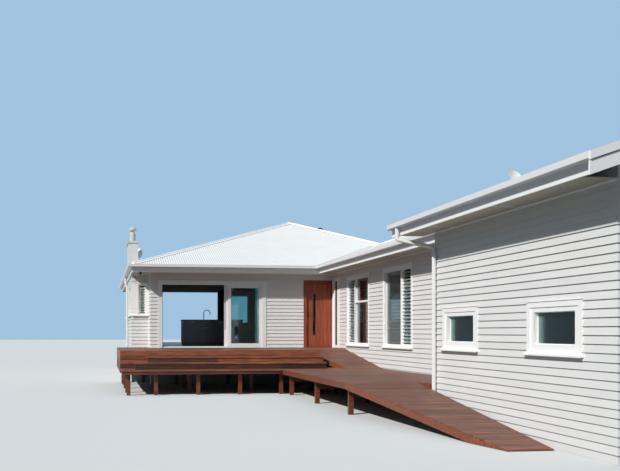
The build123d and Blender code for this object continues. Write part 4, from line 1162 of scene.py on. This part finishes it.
# Battens in the inside corners of the boards, a mould under the soffit, a flashing over
# each window and the joints of the soffit sheets
trimSet = {
    "batten": 0.040,
    "mouldDrop": 0.028,
    "mouldProud": 0.038,
    "mouldRound": 0.7,  # share of the drop
    "frameBehind": 0.08,  # how far the window frames reach behind the face of the wall
    "flashingProud": 0.046,
    "flashingPast": 0.012,
    "flashingGauge": 0.003,
    "flashingLip": 0.010,
    "sheet": 2.4,
    "lastSheet": 0.4,
    "levelSheet": 0.05,  # the soffits that are no thicker lie level
    "jointWidth": 0.030,
    "jointDepth": 0.004,
}
windowFrames = ("hall_window_frames", "near_window_frames", "bay_window_frames", "rear_window_frames")


def makeWallTrims():
    target = bmesh.new()
    size = trimSet["batten"]
    hallX, nearX, bayWest = hallWall[0].x, nearWall[0].x, bayFront[0].x
    bayNear, bayFar = bayEnds[0].y, bayEnds[1].y
    for x, y, dx, dy, foot in (
        (hallX, corner.y, -1, -1, deckTop),
        (hallX, hallEnd, -1, 1, 0),
        (corner.x, bayNear, -1, -1, deckTop),
        (corner.x, bayFar, -1, 1, 0),
    ):
        addBox(target, (x, y, foot), (x + dx * size, y + dy * size, soffitLevel))
    drop, proud = trimSet["mouldDrop"], trimSet["mouldProud"]
    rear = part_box("rear_door_frame")
    # Each length runs from one point to another on a wall that faces the given way
    for x0, y0, x1, y1, dx, dy in (
        (corner.x, corner.y, hallX, corner.y, 0, -1),
        (hallX, hallEnd, hallX, corner.y, -1, 0),
        (nearX, gableFace, nearX, hallEnd, -1, 0),
        (corner.x, corner.y, corner.x, bayNear, -1, 0),
        (bayWest, bayNear, corner.x, bayNear, 0, -1),
        (bayWest, bayNear, bayWest, bayFar, -1, 0),
        (bayWest, bayFar, corner.x, bayFar, 0, 1),
        (corner.x, bayFar, corner.x, seaFace, -1, 0),
        (corner.x, seaFace, rear[0].x, seaFace, 0, 1),
        (rear[1].x, seaFace, eastFace, seaFace, 0, 1),
        (eastFace, gableFace, eastFace, seaFace, 1, 0),
    ):
        outward = Vector((dx, dy, 0))
        front = Vector((x0, y0, 0)).dot(outward) + proud - hair
        addBoard(
            target, (x0, y0, soffitLevel - drop), (x1 + dx * proud, y1 + dy * proud, soffitLevel),
            drop * trimSet["mouldRound"],
            lambda a, b: max(a.z, b.z) < soffitLevel - hair
            and min(a.dot(outward), b.dot(outward)) > front,
            segments=4,
        )
    addHeadFlashings(target)
    addSoffitJoints(target)
    finishPiece(target, "wallTrims", trimPaint)


# The axis across the wall of a window, 0 for X and 1 for Y, and which way the window faces
def facingOf(low, high):
    thin = 1 - longAxis(low, high)
    return thin, -1 if low[thin] < (eastFace, seaFace)[thin] - wallZone else 1


def addHeadFlashings(target):
    gauge, lip = trimSet["flashingGauge"], trimSet["flashingLip"]
    end = boardSet["sillEnd"] - trimSet["flashingPast"]
    for low, high in [box for name in windowFrames for box in boxesOf(name)]:
        thin, sign = facingOf(low, high)
        along = low[1 - thin] + end, high[1 - thin] - end
        if thin and sign < 0:
            # The light in the near end of the bay runs into the corner
            along = low.x + boardSet["sillEnd"], high.x
        face = (high if sign < 0 else low)[thin] + sign * trimSet["frameBehind"]
        edge = face + sign * trimSet["flashingProud"]
        for back, bottom, top in ((face, 0, gauge), (edge - sign * gauge, -lip, 0)):
            across = min(back, edge), max(back, edge)
            addSlab(target, thin, across, along, (high.z + bottom, high.z + top))


# A nosing with a drip along the front of each sill
nosingSet = {
    "tallest": 2.2,  # a light that is taller stands on the deck and has no sill
    "proud": 0.020,
    "lap": 0.004,
    "drop": 0.006,
    "height": 0.024,
    "rounding": 0.003,
}


def makeSillNosings():
    target = bmesh.new()
    for low, high in [box for name in windowFrames for box in boxesOf(name)]:
        if high.z - low.z > nosingSet["tallest"]:
            continue
        thin, sign = facingOf(low, high)
        front = (low if sign < 0 else high)[thin]
        corners = slabCorners(
            thin,
            (front - sign * nosingSet["lap"], front + sign * nosingSet["proud"]),
            (low[1 - thin], high[1 - thin]),
            (low.z - nosingSet["drop"], low.z + nosingSet["height"]),
        )
        addBoard(target, *corners, nosingSet["rounding"])
    finishPiece(target, "sillNosings", trimPaint)


def addSoffitJoints(target):
    half, depth = trimSet["jointWidth"] / 2, trimSet["jointDepth"]
    for low, high in boxesOf("soffits"):
        if high.z - low.z > trimSet["levelSheet"]:
            continue
        axis = longAxis(low, high)
        here = low[axis] + trimSet["sheet"]
        while here < high[axis] - trimSet["lastSheet"]:
            addSlab(
                target, 1 - axis, (low[1 - axis], high[1 - axis]), (here - half, here + half),
                (low.z - depth, low.z),
            )
            here += trimSet["sheet"]


# Beads that hold the panes, on both faces of the glass
beadSet = {"width": 0.013, "depth": 0.012}


def addBeads(target, low, high):
    width, depth = beadSet["width"], beadSet["depth"]
    thin = 1 - longAxis(low, high)
    start, end = low[1 - thin], high[1 - thin]
    between = low.z + width, high.z - width
    for across in ((low[thin] - depth, low[thin]), (high[thin], high[thin] + depth)):
        addSlab(target, thin, across, (start, end), (low.z, low.z + width))
        addSlab(target, thin, across, (start, end), (high.z - width, high.z))
        addSlab(target, thin, across, (start, start + width), between)
        addSlab(target, thin, across, (end - width, end), between)


def makeBeads():
    target = bmesh.new()
    for name in ("window_glass", "near_window_glass"):
        for low, high in boxesOf(name):
            addBeads(target, low, high)
    finishPiece(target, "glazingBeads", trimPaint)
    for name, body in (
        ("slider_middle_glass", "middle_panel"),
        ("slider_leading_glass", "leading_panel"),
    ):
        target = bmesh.new()
        addBeads(target, *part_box(name))
        finishPiece(target, body + "Beads", aluminium, body)


# Louvres: glass blades in clips between two stiles
louvreSet = {
    "depth": 0.060,
    "frame": 0.032,
    "pitch": 0.089,
    "chord": 0.102,
    "glass": 0.006,
    "tilt": 40,
    "edge": 0.007,
    "clipLength": 0.092,
    "clipDepth": 0.020,
    "clipWidth": 0.034,
}


def addLouvre(frameMesh, glassMesh, edgeMesh, low, high):
    thin = 1 - longAxis(low, high)
    border, pitch, edge = louvreSet["frame"], louvreSet["pitch"], louvreSet["edge"]
    half, side, rise = louvreSet["depth"] / 2, (high[1 - thin] - low[1 - thin]) / 2, (high.z - low.z) / 2
    cassette, blades, edges = bmesh.new(), bmesh.new(), bmesh.new()
    clear = side - border
    for y0, y1, z0, z1 in (
        (-side, -clear, -rise, rise),
        (clear, side, -rise, rise),
        (-clear, clear, -rise, border - rise),
        (-clear, clear, rise - border, rise),
    ):
        addBox(cassette, (-half, y0, z0), (half, y1, z1))
    count = int(2 * (rise - border) / pitch)
    spare = 2 * (rise - border) - count * pitch
    chord, thick = louvreSet["chord"] / 2, louvreSet["glass"] / 2
    reach, deep, clip = louvreSet["clipLength"] / 2, louvreSet["clipDepth"] / 2, louvreSet["clipWidth"]
    for i in range(count):
        z = border - rise + spare / 2 + (i + 0.5) * pitch
        tilt = Matrix.Translation((0, 0, z)) @ Matrix.Rotation(-math.radians(louvreSet["tilt"]), 4, "Y")
        for shape, x0, x1, y0, y1, up in (
            (blades, edge - chord, chord - edge, -clear, clear, thick),
            (edges, -chord, edge - chord, -clear, clear, thick),
            (edges, chord - edge, chord, -clear, clear, thick),
            (cassette, -reach, reach, -clear, clip - clear, deep),
            (cassette, -reach, reach, clear - clip, clear, deep),
        ):
            verts = addBox(shape, (x0, y0, -up), (x1, y1, up))
            bmesh.ops.transform(shape, matrix=tilt, verts=verts)
    place = Matrix.Translation((low + high) / 2) @ Matrix.Rotation(math.radians(90 * thin), 4, "Z")
    for made, target in ((cassette, frameMesh), (blades, glassMesh), (edges, edgeMesh)):
        bmesh.ops.transform(made, matrix=place, verts=made.verts)
        joinInto(target, made)


def makeLouvres():
    frameMesh, glassMesh, edgeMesh = bmesh.new(), bmesh.new(), bmesh.new()
    for low, high in boxesOf("louvres"):
        addLouvre(frameMesh, glassMesh, edgeMesh, low, high)
    piece = finishPiece(frameMesh, "louvreFrames", trimPaint)
    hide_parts("louvres")
    finishPiece(glassMesh, "louvreBlades", louvreGlass)
    finishPiece(edgeMesh, "louvreEdges", glassEdge)


# The dark lining of the narrow light beside the entry door, painted shade in its reveals
slotSet = {
    "gauge": 0.004,
    "frameProud": 0.034,
    "fromFace": 0.004,
    "paneZone": 0.1,  # the panes of the hall lie this near the face of its wall
}


def makeSlotLining():
    target = bmesh.new()
    wallX = hallWall[0].x
    panes = [b for b in boxesOf("window_glass") if abs(b[0].x - wallX) < slotSet["paneZone"]]
    low, high = min(panes, key=lambda pane: pane[1].y - pane[0].y)
    gauge, front = slotSet["gauge"], wallX - slotSet["frameProud"] + slotSet["fromFace"]
    for y0, y1, z0, z1 in (
        (low.y, low.y + gauge, low.z, high.z),
        (high.y - gauge, high.y, low.z, high.z),
        (low.y, high.y, low.z, low.z + gauge),
        (low.y, high.y, high.z - gauge, high.z),
    ):
        addBox(target, (front, y0, z0), (low.x, y1, z1))
    finishPiece(target, "slotLining", shadeAluminium)


# Upright cedar boards on the face of the entry door, split round its narrow light
doorSet = {
    "board": 0.090,
    "gap": 0.003,
    "thickness": 0.010,
    "rounding": 0.002,
    "edge": 0.004,
    "leafFace": 0.030,  # how far the leaf stands behind the wall face
    "facingLap": 0.06,  # of the frame's facing on the wall
    "seed": 31,
}


def makeDoorBoards():
    generator = random.Random(doorSet["seed"])
    target = bmesh.new()
    low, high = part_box("entry_door")
    lightLow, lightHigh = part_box("entry_door_glass")
    frameLow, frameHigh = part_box("entry_frame")
    end = frameHigh.x - (low.x - frameLow.x) + doorSet["facingLap"]
    back = corner.y + doorSet["leafFace"]
    front = back - doorSet["thickness"]
    edge, gap = doorSet["edge"], doorSet["gap"]
    for x0, x1, z0, z1 in (
        (low.x + edge, lightLow.x, low.z + edge, high.z - edge),
        (lightLow.x, lightHigh.x, low.z + edge, lightLow.z),
        (lightLow.x, lightHigh.x, lightHigh.z, high.z - edge),
        (lightHigh.x, end - edge, low.z + edge, high.z - edge),
    ):
        count = max(1, round((x1 - x0) / doorSet["board"]))
        width = (x1 - x0) / count
        for i in range(count):
            start = x0 + width * i
            addBoard(
                target, (start + gap / 2, front, z0), (start + width - gap / 2, back, z1),
                doorSet["rounding"],
                lambda a, b: max(a.y, b.y) < back - hair and abs(a.z - b.z) > hair,
                generator, segments=2,
            )
    finishPiece(target, "doorBoards", cedar, "entry_door_leaf")


# A lever handle on a long plate, each part given by its reach along the door, out and up
leverSet = {
    "level": 1.05,
    "fromEdge": 0.06,
    "rounding": 0.003,
    "parts": ("plate", "stem", "grip"),
    "plate": ((-0.018, 0.018), (0.006, 0), (-0.110, 0.110)),
    "stem": ((-0.008, 0.008), (0.040, 0.006), (-0.008, 0.008)),
    "grip": ((-0.008, 0.120), (0.048, 0.036), (-0.009, 0.009)),
}


def makeDoorLever():
    target = bmesh.new()
    x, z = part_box("entry_door")[0].x + leverSet["fromEdge"], floorTop + leverSet["level"]
    front = corner.y + doorSet["leafFace"] - doorSet["thickness"]
    for part in leverSet["parts"]:
        (x0, x1), (outer, inner), (z0, z1) = leverSet[part]
        addBox(target, (x + x0, front - outer, z + z0), (x + x1, front - inner, z + z1))
    roundOff(target, target.edges[:], leverSet["rounding"], 2)
    finishPiece(target, "doorLever", blackMetal, "entry_door_leaf")


# Fronts and bar handles on the kitchen island
kitchenSet = {
    "panels": 4,
    "gap": 0.004,
    "thickness": 0.018,
    "rounding": 0.0015,
    "plinth": 0.12,
    "top": 0.01,
    "drawer": 0.2,
    "bar": 0.012,
    "barHalf": 0.10,
    "barOut": 0.030,
    "barDown": 0.050,
    "post": 0.010,
    "postOut": 0.020,
    "postFromEnd": 0.010,
}


def makeKitchen():
    low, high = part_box("kitchen_island")
    fronts, bars = bmesh.new(), bmesh.new()
    thick, gap, bar = kitchenSet["thickness"], kitchenSet["gap"], kitchenSet["bar"]
    half, post, fromEnd = kitchenSet["barHalf"], kitchenSet["post"], kitchenSet["postFromEnd"]
    bottom, top = low.z + kitchenSet["plinth"], high.z - kitchenSet["top"]
    split = top - kitchenSet["drawer"]
    width = (high.x - low.x) / kitchenSet["panels"]
    front = low.y - thick
    for i in range(kitchenSet["panels"]):
        x0, x1 = low.x + width * i + gap / 2, low.x + width * (i + 1) - gap / 2
        # Every second panel is split under a drawer
        for z0, z1 in [(bottom, split - gap), (split, top)] if i % 2 else [(bottom, top)]:
            addBox(fronts, (x0, front, z0), (x1, low.y, z1))
            x, y, z = (x0 + x1) / 2, front - kitchenSet["barOut"], z1 - kitchenSet["barDown"]
            addBox(bars, (x - half, y, z), (x + half, y + bar, z + bar))
            for start in (x - half + fromEnd, x + half - fromEnd - post):
                addBox(bars, (start, front - kitchenSet["postOut"], z), (start + post, front, z + post))
    for side in (low.x - thick, high.x):
        addBox(fronts, (side, low.y, bottom), (side + thick, high.y, top))
    roundOff(fronts, fronts.edges[:], kitchenSet["rounding"])
    finishPiece(fronts, "kitchenFronts", cabinetFront)
    finishPiece(bars, "kitchenHandles", steel)


# Brackets round the downpipes
bracketSet = {
    "radius": 0.046,
    "height": 0.030,
    "levels": (0.35, 1.45, 2.45, 3.2),
    "armHalf": 0.012,
    "armInset": 0.005,
    "earOffset": 0.03,
    "earOut": (0.022, 0.028),
}


def makePipeBrackets():
    target = bmesh.new()
    half, height, inset = bracketSet["armHalf"], bracketSet["height"], bracketSet["armInset"]
    inner, outer = bracketSet["earOut"]
    for points in solidsOf("downpipes"):
        foot = [p for p in points if p.z < hair]
        x = (min(p.x for p in foot) + max(p.x for p in foot)) / 2
        y = (min(p.y for p in foot) + max(p.y for p in foot)) / 2
        wall = nearWall[0].x if x > corner.x + wallZone else bayFront[0].x
        for z in bracketSet["levels"]:
            addDisc(target, (x, y, z), bracketSet["radius"], height, 20)
            addBox(target, (x, y - half, z + inset), (wall, y + half, z + height - inset))
            for ear in (y - bracketSet["earOffset"], y + bracketSet["earOffset"]):
                addBox(target, (wall - outer, ear - half, z), (wall - inner, ear + half, z + height))
    finishPiece(target, "pipeBrackets", gutterPaint)


# Straps that tie the lip of each gutter back to the fascia
strapSet = {
    "pitch": 0.9,
    "fromEnd": 0.35,
    "fromLip": 0.012,
    "width": 0.024,
    "gauge": 0.002,
    "below": 0.006,
}


def makeGutterStraps():
    target = bmesh.new()
    z, half = lipLevel - strapSet["below"], strapSet["width"] / 2
    for low, high in boxesOf("gutters"):
        axis = longAxis(low, high)
        run = high[axis] - low[axis] - 2 * strapSet["fromEnd"]
        count = max(1, round(run / strapSet["pitch"]))
        for i in range(count + 1):
            here = low[axis] + strapSet["fromEnd"] + run * i / count
            addSlab(
                target, 1 - axis, (low[1 - axis] + strapSet["fromLip"], high[1 - axis]),
                (here - half, here + half), (z - strapSet["gauge"], z),
            )
    finishPiece(target, "gutterStraps", gutterPaint)


# Small round lamps in the soffits, and a spot lamp by the bay
lampSet = {
    "ring": 0.040,
    "ringFoot": 0.032,
    "lens": 0.026,
    "lensHeight": 0.004,
    "lensBelow": 0.002,
    "drop": 0.008,
    "nearPlaces": (-16.30, -14.15, -12.00),
    "hallPlaces": (-9.4, -6.2, -3.0),
    "mainPlaces": (1.2, 3.3, 5.4),
    "offWall": 0.36,
    "spot": (-0.35, -0.15),
    "spotRadius": 0.036,
    "spotLength": 0.085,
}


def makeLamps():
    rings, lenses = bmesh.new(), bmesh.new()
    off, drop = lampSet["offWall"], lampSet["drop"]
    places = [(nearWall[0].x - off, corner.y + y) for y in lampSet["nearPlaces"]]
    places += [(hallWall[0].x - off, corner.y + y) for y in lampSet["hallPlaces"]]
    places += [(corner.x + x, corner.y - off) for x in lampSet["mainPlaces"]]
    z = soffitLevel - drop
    for place in places:
        addDisc(rings, (*place, z), lampSet["ringFoot"], drop, 24, lampSet["ring"])
        foot = (*place, z - lampSet["lensBelow"])
        addDisc(lenses, foot, lampSet["lens"], lampSet["lensHeight"], 24)
    place = corner + Vector((*lampSet["spot"], soffitLevel - lampSet["spotLength"]))
    addDisc(lenses, place, lampSet["spotRadius"], lampSet["spotLength"], 24)
    finishPiece(rings, "soffitLampRings", steel)
    finishPiece(lenses, "soffitLamps", blackMetal)


# The arm and head in front of the west dish, set out from the middle of the dish
dishSet = {
    "place": (-0.214, 6.000, 4.830),
    "heading": 250,
    "tilt": 70,
    "armFoot": (0.24225, 0, 0.02),
    "armTop": (0.08925, 0, 0.29325),
    "armWidth": 0.018,
    "headRadii": (0.030, 0.022),
    "headLength": 0.09,
    "headTurn": -20,
}


def makeDishArms():
    target = bmesh.new()
    foot, top, width = dishSet["armFoot"], dishSet["armTop"], dishSet["armWidth"]
    addBar(target, foot, top, (0, 1, 0), (1, 0, 1), width, width)
    head = Matrix.Translation(top) @ Matrix.Rotation(math.radians(dishSet["headTurn"]), 4, "Y")
    wide, narrow = dishSet["headRadii"]
    bmesh.ops.create_cone(
        target, cap_ends=True, segments=16, radius1=wide, radius2=narrow,
        depth=dishSet["headLength"], matrix=head,
    )
    turn = Matrix.Rotation(math.radians(dishSet["heading"]), 4, "Z")
    turn = turn @ Matrix.Rotation(math.radians(dishSet["tilt"]), 4, "Y")
    place = Matrix.Translation(corner + Vector(dishSet["place"])) @ turn
    bmesh.ops.transform(target, matrix=place, verts=target.verts)
    finishPiece(target, "dishArms", steel)


# A flush black pull on the outer stile of the leading panel
pullSet = {"width": 0.020, "length": 0.95, "thickness": 0.002, "above": 0.55, "fromEdge": 0.018}


def makeDoorPulls():
    target = bmesh.new()
    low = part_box("slider_leading_panel")[0]
    x0, z0 = low.x + pullSet["fromEdge"], floorTop + pullSet["above"]
    addBox(
        target, (x0, low.y - pullSet["thickness"], z0),
        (x0 + pullSet["width"], low.y, z0 + pullSet["length"]),
    )
    finishPiece(target, "leadingPull", blackMetal, "leading_panel")
    print("trims and fittings done")


makeCamera()
makeLight()
makeFloor()
dressFrame()
dressPanes()
print("camera, light and finishes ready")
makeWeatherboards()
makeRoofIron()
makeMainDeck()
makeLowerDeck()
makeSteps()
makeRamps()
makeSkirts()
makeWallTrims()
makeSillNosings()
makeBeads()
makeLouvres()
makeSlotLining()
makeDoorBoards()
makeDoorLever()
makeKitchen()
makePipeBrackets()
makeGutterStraps()
makeLamps()
makeDishArms()
makeDoorPulls()
